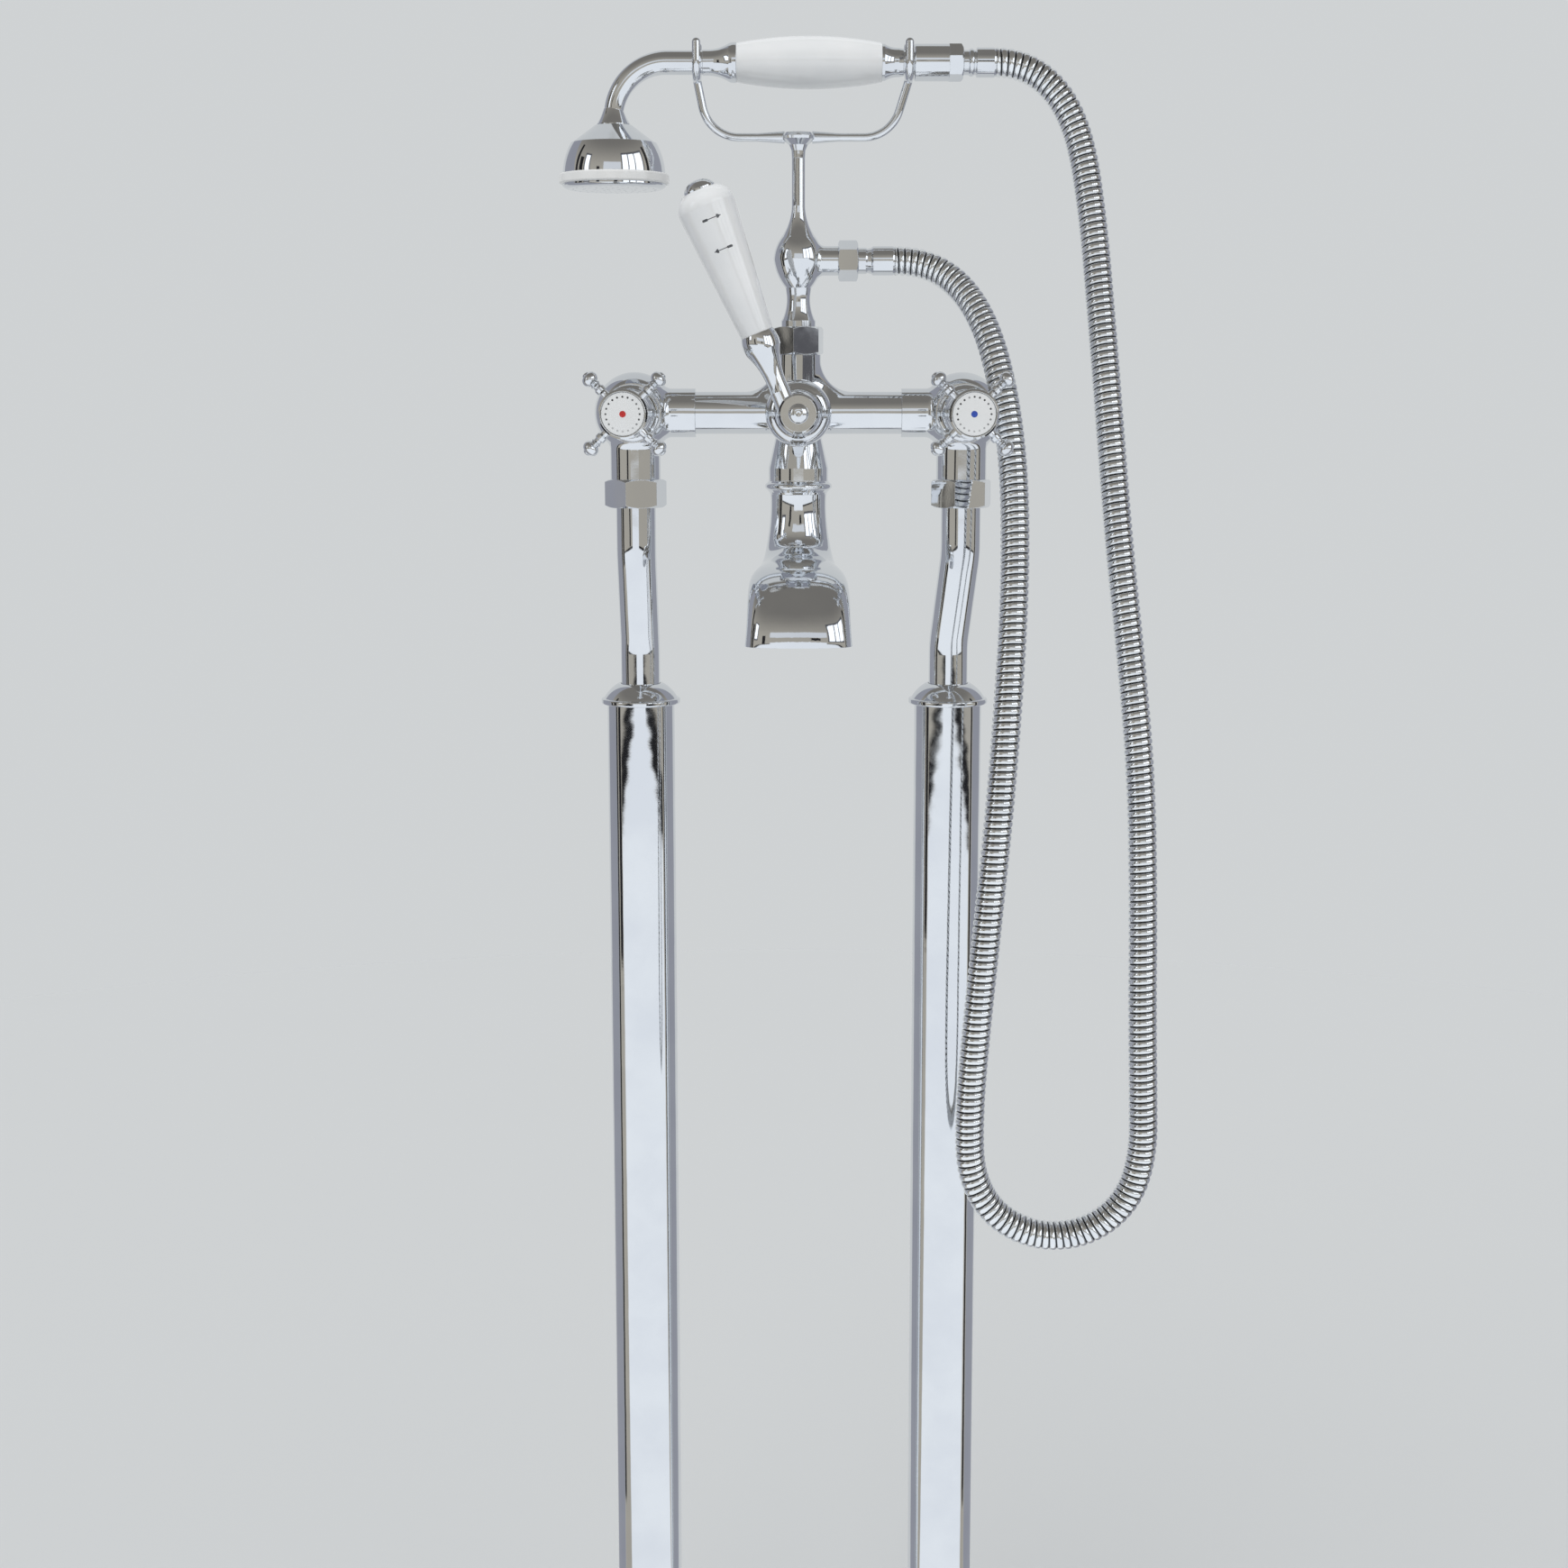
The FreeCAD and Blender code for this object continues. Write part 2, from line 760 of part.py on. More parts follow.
# Valve: globe body, cartridge, bonnet, spindle and cross head
def make_valve_body(name, side):
    globe = size("globe_radius")
    tube_radius = size("inlet_tube_radius")
    thread = size("union_thread_radius")
    foot = valve_foot() - axis_z
    shoulder = -size("union_top")
    socket = size("socket_radius")
    length = size("socket_length")
    waterway = size("waterway_radius")
    body = new_body(name + "_body")
    revolve(body, name + "_stem", [
        (0, foot), (thread, foot), (thread, shoulder), (tube_radius, shoulder),
        (tube_radius, 0), (0, 0)])
    revolve(body, name + "_globe", [(0, -globe, HALF_TURN), (0, globe)])
    socket_disc = disc_sketch(body, name + "_socket_circle", socket, "YZ_Plane")
    extrude(body, name + "_socket", socket_disc, length, reverse=side > 0)
    doc.recompute()
    add_blend(body, name + "_blend", size("valve_blend"), globe_seams(body, number(globe)))
    boss = disc_sketch(body, name + "_boss_circle", size("boss_radius"), "XZ_Plane")
    extrude(body, name + "_boss", boss, size("boss_front"))
    bore_end = waterway / 2
    revolve(body, name + "_inlet_bore", [
        (0, foot - 1), (waterway, foot - 1), (waterway, bore_end), (0, bore_end)], "Groove")
    side_bore = disc_sketch(body, name + "_side_circle", waterway, "YZ_Plane")
    extrude(body, name + "_side_bore", side_bore, length + 1, "Pocket", reverse=side < 0)
    spigot = disc_sketch(body, name + "_spigot_circle", spigot_radius() + running, "YZ_Plane",
                         lift=(length - size("spigot_length") - size("face_gap")) * -side)
    extrude(body, name + "_spigot_bore", spigot, length, "Pocket", reverse=side < 0)
    front = disc_sketch(body, name + "_front_circle", size("cartridge_radius") + slip,
                        "XZ_Plane", lift=size("cartridge_back") - size("face_gap"))
    extrude(body, name + "_front_bore", front, size("boss_front"), "Pocket", reverse=True)
    place(body, (valve_x(side), mixer_y, axis_z))
    return body


def spigot_radius():
    return size("waterway_radius") + size("spigot_wall")


def globe_seams(body, globe):
    """The edges where the inlet tube and the socket leave the globe."""
    found = []
    for index, edge in enumerate(body.Shape.Edges, start=1):
        points = [edge.valueAt(value) for value in edge_samples(edge)]
        on_globe = all(abs(point.Length - globe) < ON_SURFACE for point in points)
        spread = max(point.distanceToPoint(points[0]) for point in points)
        if on_globe and spread > ON_SURFACE and not is_seam(body, edge):
            found.append("Edge%d" % index)
    return found


# How near a point of an edge lies to a surface that it is on
ON_SURFACE = 0.01


def edge_samples(edge):
    first, last = edge.ParameterRange
    return [first + (last - first) * step / 4 for step in range(5)]


def is_seam(body, edge):
    """True for an edge that has the same face on both of its sides."""
    faces = body.Shape.ancestorsOfType(edge, Part.Face)
    return len(faces) < 2


def add_blend(body, name, radius, edges):
    before = body.Tip
    feature = body.newObject("PartDesign::Fillet", name)
    feature.Base = (before, edges)
    feature.Radius = number(radius)
    bind(feature, "Radius", radius)
    return feature


def front_of(side):
    return (valve_x(side), mixer_y, axis_z)


def make_cartridge(name, side):
    """The valve's works: a plug in the body, a head under the bonnet and a guide tube."""
    radius = size("cartridge_radius")
    head = size("cartridge_head_radius")
    back = size("cartridge_back")
    seat = size("boss_front")
    top = seat + size("cartridge_head_height")
    guide = size("cartridge_guide_radius")
    bore = size("spindle_radius") + running
    bore_end = size("spindle_back") - size("small_edge")
    tip = size("cartridge_front")
    return turned(name, [
        (0, back), (radius, back), (radius, seat), (head, seat), (head, top), (guide, top),
        (guide, tip), (bore, tip), (bore, bore_end), (0, bore_end)], front_of(side), TO_FRONT)


def make_bonnet(name, side):
    radius = size("bonnet_radius")
    neck = size("bonnet_neck_radius")
    low = size("boss_front")
    high = size("bonnet_front")
    edge = size("small_edge")
    collar = low + size("bonnet_collar_height")
    shoulder = low + size("bonnet_shoulder_height")
    wide = size("cartridge_head_radius") + free
    narrow = size("cartridge_guide_radius") + free
    inner_top = low + size("cartridge_head_height") + edge
    return turned(name, [
        (wide, low), (radius, low), (radius, collar, ROUND),
        (radius - edge, collar + edge * 2, HOLLOW), (neck, shoulder),
        (neck, high - size("bonnet_head_height"), ROUND), (neck, high - edge),
        (neck - edge, high), (narrow, high), (narrow, inner_top), (wide, inner_top)],
        front_of(side), TO_FRONT)


def crosshead_floor():
    """The floor under the index disc, measured from the valve's axis."""
    return size("crosshead_front") - size("index_thickness") - free


def pocket_floor():
    """The floor that the screw's head bears on."""
    return crosshead_floor() - size("screw_pocket_depth")


def make_spindle(name, side):
    radius = size("spindle_radius")
    back = size("spindle_back")
    tip = pocket_floor() - size("hub_web") - size("face_gap")
    bore = size("screw_shank_radius") + running
    tapped = tip - size("spindle_tapped_depth")
    return turned(name, [
        (0, back), (radius, back), (radius, tip), (bore, tip), (bore, tapped), (0, tapped)],
        front_of(side), TO_FRONT)


def make_crosshead(name, side):
    """A hub with a bezel for the index disc, and four arms with beads and ball tips."""
    hub = size("crosshead_hub_radius")
    wide_hub = hub + size("hub_swell")
    bezel = size("bezel_radius")
    back = size("crosshead_back")
    front = size("crosshead_front")
    edge = size("small_edge")
    bezel_back = front - size("bezel_depth")
    floor = crosshead_floor()
    web_top = pocket_floor()
    web_low = web_top - size("hub_web")
    recess = size("index_radius") + slip
    shank = size("screw_shank_radius") + slip
    pocket = size("screw_head_radius") + free
    spindle = size("spindle_radius") + slip
    plane = size("arm_plane")
    swell_start = plane - size("arm_bead_radius") * 3
    swell_end = plane - size("arm_bead_radius")
    body = new_body(name + "_body")
    revolve(body, name + "_hub", [
        (spindle, back), (hub - edge, back), (hub, back + edge), (hub, swell_start, HOLLOW),
        (wide_hub, swell_end), (wide_hub, bezel_back - edge * 2, ROUND), (bezel, bezel_back),
        (bezel, front - edge), (bezel - edge, front), (recess, front), (recess, floor),
        (pocket, floor), (pocket, web_top), (shank, web_top), (shank, web_low),
        (spindle, web_low)])
    arm = revolve(body, name + "_arm", arm_profile(hub), role="XZ_Plane", axis="H_Axis",
                  lift=(0, plane, 0))
    pattern = body.newObject("PartDesign::PolarPattern", name + "_arms")
    pattern.Originals = [arm]
    pattern.Axis = (datum(body, "Z_Axis"), [""])
    pattern.Angle = 360
    pattern.Occurrences = 4
    body.Tip = pattern
    place(body, front_of(side), TO_FRONT * FreeCAD.Rotation(Vector(0, 0, 1), 45))
    return body


def arm_profile(hub):
    """Half section of an arm along X: a root, a bead, a plain stretch and a ball tip."""
    reach = size("arm_reach")
    slim = size("arm_radius")
    root = size("arm_root_radius")
    bead = size("arm_bead_radius")
    edge = size("small_edge")
    inner = hub - edge
    bead_in = hub + size("arm_bead_place") - edge
    bead_out = hub + size("arm_bead_place") + edge
    tip = reach - size("arm_tip_length")
    return [
        (inner, 0), (inner, root), (bead_in - edge * 2, slim), (bead_in - edge, slim),
        (bead_in, bead), (bead_out, bead), (bead_out + edge, slim), (tip - edge * 2, slim),
        (tip - edge, bead), (tip, slim, -0.75), (reach - edge, slim, HOLLOW),
        (reach, size("dome_flat")), (reach, 0)]


def make_handle_screw(name, side):
    head = size("screw_head_radius")
    shank = size("screw_shank_radius")
    edge = size("small_edge")
    low = pocket_floor()
    foot = low - size("screw_length")
    top = low + size("screw_head_height")
    return turned(name, [
        (0, foot), (shank, foot), (shank, low), (head, low), (head, top - edge),
        (head - edge, top), (0, top)], front_of(side), TO_FRONT)


def make_index_disc(name, side):
    radius = size("index_radius")
    edge = size("fine_edge")
    low = crosshead_floor()
    high = low + size("index_thickness")
    return turned(name, [
        (0, low), (radius, low), (radius, high - edge, QUARTER_TURN), (radius - edge, high),
        (0, high + slip)], front_of(side), TO_FRONT)


def make_valve(name, side):
    keep(make_cranked_pipe("crank_" + name, side), "cranked_pipe_" + name)
    keep(make_union_nut("union_" + name, side), "union_nut_" + name)
    keep(make_valve_body("valve_" + name, side), "valve_body_" + name)
    keep(make_cartridge("cartridge_" + name, side), "valve_cartridge_" + name)
    keep(make_bonnet("bonnet_" + name, side), "valve_bonnet_" + name)
    keep(make_spindle("spindle_" + name, side), "valve_spindle_" + name)
    keep(make_crosshead("head_" + name, side), "crosshead_" + name)
    keep(make_handle_screw("screw_" + name, side), "handle_screw_" + name)
    keep(make_index_disc("index_" + name, side), "index_disc_" + name)


# Mixer body: the cross tube, the upright and the diverter's boss
def arm_end():
    return size("inlet_centres") / 2 - size("socket_length")


def make_mixer_body():
    name = "mixer"
    low = -size("lower_body_depth")
    wide = size("lower_body_radius")
    slim = size("upper_body_radius")
    high = size("upper_body_height")
    thread = size("upper_thread_radius")
    top = high + size("upper_thread_height")
    waterway = size("waterway_radius")
    tube_radius = size("cross_tube_radius")
    taper_top = -(tube_radius + size("fine_edge"))
    taper_foot = taper_top - size("corner_blend") - size("small_edge")
    body = new_body(name + "_body")
    revolve(body, name + "_upright", [
        (0, low), (wide, low), (wide, taper_foot), (slim, taper_top), (slim, high), (0, high)])
    arms = disc_sketch(body, name + "_arm_circle", tube_radius, "YZ_Plane")
    extrude(body, name + "_arms", arms, arm_end() * 2, both_ways=True)
    doc.recompute()
    seams = cross_seams(body, number(tube_radius), number(arm_end()))
    add_blend(body, name + "_corners", size("corner_blend"), seams)
    revolve(body, name + "_thread", [(0, high - 2), (thread, high - 2), (thread, top), (0, top)])
    spigots = disc_sketch(body, name + "_spigot_circle", spigot_radius(), "YZ_Plane")
    extrude(body, name + "_spigots", spigots, (arm_end() + size("spigot_length")) * 2,
            both_ways=True)
    boss = disc_sketch(body, name + "_boss_circle", size("diverter_boss_radius"), "XZ_Plane")
    extrude(body, name + "_boss", boss, size("diverter_boss_front"))
    lower_bore = size("lower_bore_radius")
    upper_bore = size("upper_bore_radius")
    revolve(body, name + "_bore", [
        (0, low - 1), (lower_bore, low - 1), (lower_bore, -size("lower_bore_top")),
        (upper_bore, size("upper_bore_foot")), (upper_bore, top + 1), (0, top + 1)], "Groove")
    cross_bore = disc_sketch(body, name + "_cross_circle", waterway, "YZ_Plane")
    extrude(body, name + "_cross_bore", cross_bore, size("inlet_centres"), "Pocket",
            both_ways=True)
    front = disc_sketch(body, name + "_front_circle", size("diverter_cartridge_radius") + slip,
                        "XZ_Plane", lift=size("diverter_back") - size("face_gap"))
    extrude(body, name + "_front_bore", front, size("diverter_boss_front"), "Pocket",
            reverse=True)
    place(body, (mixer_x, mixer_y, axis_z))
    return body


def cross_seams(body, tube_radius, end):
    """The edges where the cross tube leaves the upright."""
    found = []
    for index, edge in enumerate(body.Shape.Edges, start=1):
        points = [edge.valueAt(value) for value in edge_samples(edge)]
        on_tube = all(abs(math.hypot(point.y, point.z) - tube_radius) < ON_SURFACE
                      for point in points)
        inside = all(abs(point.x) < end - ON_SURFACE for point in points)
        level = max(point.z for point in points) - min(point.z for point in points)
        if on_tube and inside and level > ON_SURFACE and not is_seam(body, edge):
            found.append("Edge%d" % index)
    return found


# Diverter: cartridge, bonnet, spindle and the lever with its ceramic grip
def diverter_at():
    return (mixer_x, mixer_y, axis_z)


def lever_at():
    return (mixer_x, mixer_y - size("lever_plane"), axis_z)


def lever_turn():
    return FreeCAD.Rotation(Vector(0, 1, 0), -number(size("lever_lean")))


def grip_at():
    """The foot of the grip's axis, which passes beside the hub's centre."""
    lean = math.radians(number(size("lever_lean")))
    beside = size("lever_offset")
    return (mixer_x - beside * math.cos(lean), mixer_y - size("lever_plane"),
            axis_z - beside * math.sin(lean))


def lever_back():
    return size("diverter_bonnet_front") + free * 2


def lever_front():
    return size("lever_plane") + size("lever_hub_front")


def diverter_guide_tip():
    return size("diverter_boss_front") + size("diverter_guide_length")


def make_diverter_cartridge():
    radius = size("diverter_cartridge_radius")
    guide = radius - size("diverter_guide_step")
    back = size("diverter_back")
    front = size("diverter_boss_front")
    bore = size("spindle_radius") + running
    bore_end = spindle_foot() - free
    tip = diverter_guide_tip()
    return turned("diverter_cartridge", [
        (0, back), (radius, back), (radius, front), (guide, front + size("fine_edge")),
        (guide, tip), (bore, tip), (bore, bore_end), (0, bore_end)],
        diverter_at(), TO_FRONT)


def spindle_foot():
    return size("diverter_back") + size("diverter_guide_length")


def make_diverter_bonnet():
    radius = size("diverter_cartridge_radius")
    inner = radius - size("diverter_guide_step") + free
    low = size("diverter_boss_front")
    high = size("diverter_bonnet_front")
    wide = size("diverter_boss_radius")
    rim = low + size("diverter_bonnet_rim")
    step = wide - size("diverter_bonnet_step")
    inner_top = diverter_guide_tip() + free
    hole = size("spindle_radius") + free
    return turned("diverter_bonnet", [
        (inner, low + size("fine_edge")), (radius, low), (wide, low), (wide, rim, ROUND),
        (step, (low + high * 2) / 3, SLIGHT_HOLLOW), (size("lever_hub_radius"), high),
        (hole, high), (hole, inner_top), (inner, inner_top)], diverter_at(), TO_FRONT)


def make_diverter_spindle():
    radius = size("spindle_radius")
    tapped_bore = size("screw_shank_radius") + running
    tip = lever_front() - size("lever_hub_floor")
    tapped = tip - size("spindle_tapped_depth")
    return turned("diverter_spindle", [
        (0, spindle_foot()), (radius, spindle_foot()), (radius, tip), (tapped_bore, tip),
        (tapped_bore, tapped), (0, tapped)], diverter_at(), TO_FRONT)


def make_lever_stem():
    """The lever's hub, its flared neck and the ferrule that the grip stands on."""
    name = "lever_stem"
    hub = size("lever_hub_radius")
    front = size("lever_hub_front")
    back = size("lever_plane") - lever_back()
    edge = size("small_edge")
    stem = size("lever_stem_length")
    ferrule = size("lever_ferrule_radius")
    neck = size("lever_neck_radius")
    floor = size("lever_hub_floor") - size("face_gap") - front
    spindle = size("spindle_radius") + slip
    shank = size("screw_shank_radius") + slip
    rod = size("lever_rod_radius") + slip
    rod_floor = stem - size("lever_rod_grip") - size("face_gap")
    beside = (-size("lever_offset"), 0, 0)
    body = new_body(name + "_body")
    revolve(body, name + "_hub", [
        (0, -front), (hub - edge, -front), (hub, edge - front), (hub, back - edge),
        (hub - edge, back), (0, back)], role="XY_Plane")
    revolve(body, name + "_neck", [
        (0, 0), (neck, 0), (neck, hub + edge * 4, SLIGHT_HOLLOW),
        (ferrule, stem - size("lever_ferrule_length"), SLIGHT_ROUND),
        (size("lever_grip_foot") + free, stem), (0, stem)], lift=beside)
    revolve(body, name + "_rod_hole", [
        (0, rod_floor), (rod, rod_floor), (rod, stem + edge), (0, stem + edge)],
        "Groove", lift=beside)
    revolve(body, name + "_spindle_hole", [
        (0, floor), (spindle, floor), (spindle, back + edge), (0, back + edge)],
        "Groove", role="XY_Plane")
    revolve(body, name + "_screw_hole", [
        (0, -front - edge), (shank, -front - edge), (shank, floor + edge),
        (0, floor + edge)], "Groove", role="XY_Plane")
    place(body, lever_at(), lever_turn())
    return body


def grip_top():
    return size("lever_stem_length") + size("lever_grip_length")


def make_lever_rod():
    radius = size("lever_rod_radius")
    low = size("lever_stem_length") - size("lever_rod_grip")
    high = grip_top() + size("lever_rod_end")
    return turned("lever_rod", [(0, low), (radius, low), (radius, high), (0, high)],
                  grip_at(), lever_turn())


def make_lever_grip():
    """The ceramic grip, which widens towards a rounded shoulder at its top."""
    bore = size("lever_rod_radius") + free
    foot = size("lever_stem_length")
    shoulder = grip_top() - size("lever_grip_shoulder")
    return turned("lever_grip", [
        (bore, foot), (size("lever_grip_foot"), foot),
        (size("lever_grip_top"), shoulder, ROUND),
        (size("lever_cap_radius") + size("small_edge"), grip_top()), (bore, grip_top())],
        grip_at(), lever_turn())


def make_lever_cap():
    radius = size("lever_cap_radius")
    socket = size("lever_rod_radius") + running
    socket_top = grip_top() + size("lever_rod_end") + size("face_gap")
    top = grip_top() + size("lever_cap_height")
    flat = size("dome_flat")
    return turned("lever_cap", [
        (0, socket_top), (socket, socket_top), (socket, grip_top()), (radius, grip_top()),
        (radius, grip_top() + size("small_edge"), ROUND), (flat, top), (0, top)],
        grip_at(), lever_turn())


def make_lever_screw():
    """The domed screw that holds the lever on its spindle."""
    shank = size("screw_shank_radius")
    head = size("lever_screw_head")
    front = lever_front()
    foot = front - size("lever_screw_length")
    top = front + size("lever_screw_dome")
    flat = size("dome_flat")
    return turned("lever_screw", [
        (0, foot), (shank, foot), (shank, front), (head, front),
        (head, front + size("small_edge"), ROUND), (flat, top), (0, top)],
        diverter_at(), TO_FRONT)


def make_diverter():
    keep(make_diverter_cartridge(), "diverter_cartridge")
    keep(make_diverter_bonnet(), "diverter_bonnet")
    keep(make_diverter_spindle(), "diverter_spindle")
    keep(make_lever_stem(), "lever_stem")
    keep(make_lever_rod(), "lever_rod")
    keep(make_lever_grip(), "lever_grip")
    keep(make_lever_cap(), "lever_cap")
    keep(make_lever_screw(), "lever_screw")


# Spout: a round neck that sweeps forward and fans out to a wide mouth
SPOUT_STATIONS = (
    # share of the reach, of the drop and of the widening; narrowing in millimetres
    # or, above zero, share of the mouth's depth; power, from 2 for round to square
    (0.0, 0.0, 0.0, 0.0, 2.0),
    (0.0, 0.22, 0.03, 0.02, 2.0),
    (0.10, 0.46, 0.26, -1.0, 2.1),
    (0.34, 0.58, 0.56, -2.4, 2.4),
    (0.64, 0.62, 0.82, -3.0, 2.8),
    (0.88, 0.72, 0.90, -2.6, 3.0),
    (0.99, 0.87, 0.93, -0.6, 3.1),
    (1.0, 1.0, 1.0, 1.0, 3.2),
)
SPOUT_ROUND = 24


def rounded_section(centre, normal, half_width, half_depth, power):
    """A closed curve between an ellipse and a rectangle, square to the spout's path."""
    sideways = Vector(1, 0, 0)
    upward = normal.cross(sideways).normalize()
    points = []
    for step in range(SPOUT_ROUND):
        angle = 2 * math.pi * step / SPOUT_ROUND
        across = math.copysign(abs(math.cos(angle)) ** (2 / power), math.cos(angle))
        depth = math.copysign(abs(math.sin(angle)) ** (2 / power), math.sin(angle))
        points.append(centre + sideways * (half_width * across) + upward * (half_depth * depth))
    curve = Part.BSplineCurve()
    curve.interpolate(Points=points, PeriodicFlag=True)
    return Part.Wire([curve.toShape()])


def spout_path():
    reach = number(size("spout_reach"))
    drop = number(size("spout_drop"))
    return [Vector(0, -reach * station[0], -drop * station[1]) for station in SPOUT_STATIONS]


def spout_loft(inset, stretch):
    """One skin of the spout, set in by the wall; the inner one runs past both ends."""
    neck = number(size("spout_neck_radius"))
    wide = number(size("spout_half_width"))
    deep = number(size("spout_half_depth"))
    path = spout_path()
    wires = []
    for index, station in enumerate(SPOUT_STATIONS):
        before = path[max(index - 1, 0)]
        after = path[min(index + 1, len(path) - 1)]
        normal = (after - before).normalize()
        centre = path[index]
        if index in (0, len(path) - 1):
            normal = Vector(0, 0, -1)
            centre = centre + normal * (stretch if index else -stretch)
        half_width = neck + (wide - neck) * station[2] - inset
        narrowing = station[3] if station[3] < 0 else (deep - neck) * station[3]
        wires.append(rounded_section(centre, normal, half_width, neck + narrowing - inset,
                                     station[4]))
    return Part.makeLoft(wires, True, False)


def make_spout():
    wall = number(size("spout_wall"))
    shape = spout_loft(0.0, 0.0).cut(spout_loft(wall, 1.0))
    item = shape_feature("spout", shape)
    place(item, (mixer_x, mixer_y, spout_top()))
    return item


def spout_top():
    return axis_z - size("lower_body_depth") - size("ring_height")


def make_spout_ring():
    """The beaded ring between the mixer's body and the spout."""
    radius = size("ring_radius")
    neck = size("spout_neck_radius")
    height = size("ring_height")
    body_radius = size("lower_body_radius")
    inner = size("lower_bore_radius")
    bead = size("ring_bead_foot")
    edge = size("small_edge")
    fine = size("fine_edge")
    return turned("ring", [
        (inner, 0), (neck, 0), (neck + fine, edge), (radius, bead, QUARTER_TURN * 1.6),
        (radius, height - edge - fine), (body_radius, height - fine),
        (body_radius, height), (inner, height)], (mixer_x, mixer_y, spout_top()))


# Riser: union nut, column with the hose branch, and the hose outlet
def riser_at():
    return (mixer_x, mixer_y, axis_z)


def riser_seat():
    return (size("upper_body_height") + size("upper_thread_height") + size("washer_height")
            + size("nut_gap"))


def make_riser_nut():
    height = size("riser_nut_height")
    bore = size("upper_thread_radius") + slip
    lip = height - size("riser_nut_lip")
    hole = size("riser_foot_radius") + free
    inside = [(hole, height), (hole, lip), (bore, lip), (bore, 0)]
    at = (mixer_x, mixer_y, axis_z + size("upper_body_height") + size("nut_gap"))
    return hex_nut("riser_nut", size("riser_nut_flats"), height, inside, at, phase=-100.7)


def branch_level():
    """The hose branch leaves just under the bulb's widest place."""
    return size("bulb_height") - size("branch_drop")


def stem_foot():
    return size("bulb_height") + size("bulb_shoulder_length") + size("stem_foot_rise")


def stem_top():
    return stem_foot() + size("stem_length")


def make_riser_column():
    """The waisted column that swells to a bulb with the hose branch, then a slim stem."""
    name = "riser"
    foot = size("riser_foot_radius")
    flange = size("upper_thread_radius")
    low = riser_seat()
    flange_top = low + size("riser_flange_height")
    waist = size("riser_waist_radius")
    bulb = size("bulb_radius")
    bulb_z = size("bulb_height")
    waist_z = bulb_z - size("riser_waist_drop")
    stem = size("stem_radius")
    top = stem_top()
    branch_z = branch_level()
    reach = size("branch_reach")
    bore = size("branch_bore")
    pin = size("cradle_pin_radius")
    pin_top = top + size("cradle_pin_length")
    body = new_body(name + "_body")
    revolve(body, name + "_turn", [
        (0, low), (flange, low), (flange, flange_top), (foot, flange_top),
        (foot, low + size("riser_foot_length"), SLIGHT_HOLLOW), (waist, waist_z),
        (waist + size("riser_swell"), waist_z + size("riser_swell_length"), SLIGHT_ROUND),
        (bulb, bulb_z, SLIGHT_ROUND),
        (size("bulb_shoulder_radius"), bulb_z + size("bulb_shoulder_length"), SLIGHT_HOLLOW),
        (stem, stem_foot()), (stem, top), (0, top)])
    branch = disc_sketch(body, name + "_branch_circle", size("branch_radius"), "YZ_Plane",
                         (0, branch_z))
    extrude(body, name + "_branch", branch, reach)
    doc.recompute()
    add_blend(body, name + "_blend", size("branch_blend"),
              branch_seams(body, number(size("branch_radius")), number(branch_z)))
    thread = disc_sketch(body, name + "_thread_circle", size("branch_thread_radius"),
                         "YZ_Plane", (0, branch_z))
    extrude(body, name + "_thread", thread, reach + size("branch_thread_length"))
    inner = size("riser_bore")
    revolve(body, name + "_bore", [
        (0, low - 1), (inner, low - 1), (inner, branch_z), (0, branch_z + inner)], "Groove")
    hole = disc_sketch(body, name + "_hole_circle", bore, "YZ_Plane", (0, branch_z))
    extrude(body, name + "_hole", hole, reach + size("branch_thread_length") + 1, "Pocket",
            reverse=True)
    revolve(body, name + "_pin", [(0, top - 1), (pin, top - 1), (pin, pin_top), (0, pin_top)])
    place(body, riser_at())
    return body


def branch_seams(body, radius, height):
    """The edges where the hose branch leaves the bulb."""
    found = []
    for index, edge in enumerate(body.Shape.Edges, start=1):
        points = [edge.valueAt(value) for value in edge_samples(edge)]
        on_tube = all(abs(math.hypot(point.y, point.z - height) - radius) < ON_SURFACE
                      for point in points)
        across = [point.x for point in points]
        flat = max(across) - min(across) < ON_SURFACE
        if on_tube and not flat and not is_seam(body, edge):
            found.append("Edge%d" % index)
    return found


def outlet_at():
    return (mixer_x + size("branch_reach"), mixer_y, axis_z + branch_level())


def outlet_flange_start():
    return (size("outlet_nut_length") - size("outlet_nut_lip") - size("outlet_flange_length")
            - size("face_gap"))


def ferrule_start():
    """Where the hose's ferrule begins, measured from the branch's shoulder."""
    return size("outlet_nut_length") + size("nut_gap") + size("outlet_collar_length")


def make_outlet_nut():
    length = size("outlet_nut_length")
    thread = size("branch_thread_radius") + slip
    neck = size("outlet_neck_radius") + free
    lip = length - size("outlet_nut_lip")
    inside = [(neck, length), (neck, lip), (thread, lip), (thread, 0)]
    return hex_nut("outlet_nut", size("outlet_nut_flats"), length, inside, outlet_at(),
                   TO_RIGHT)


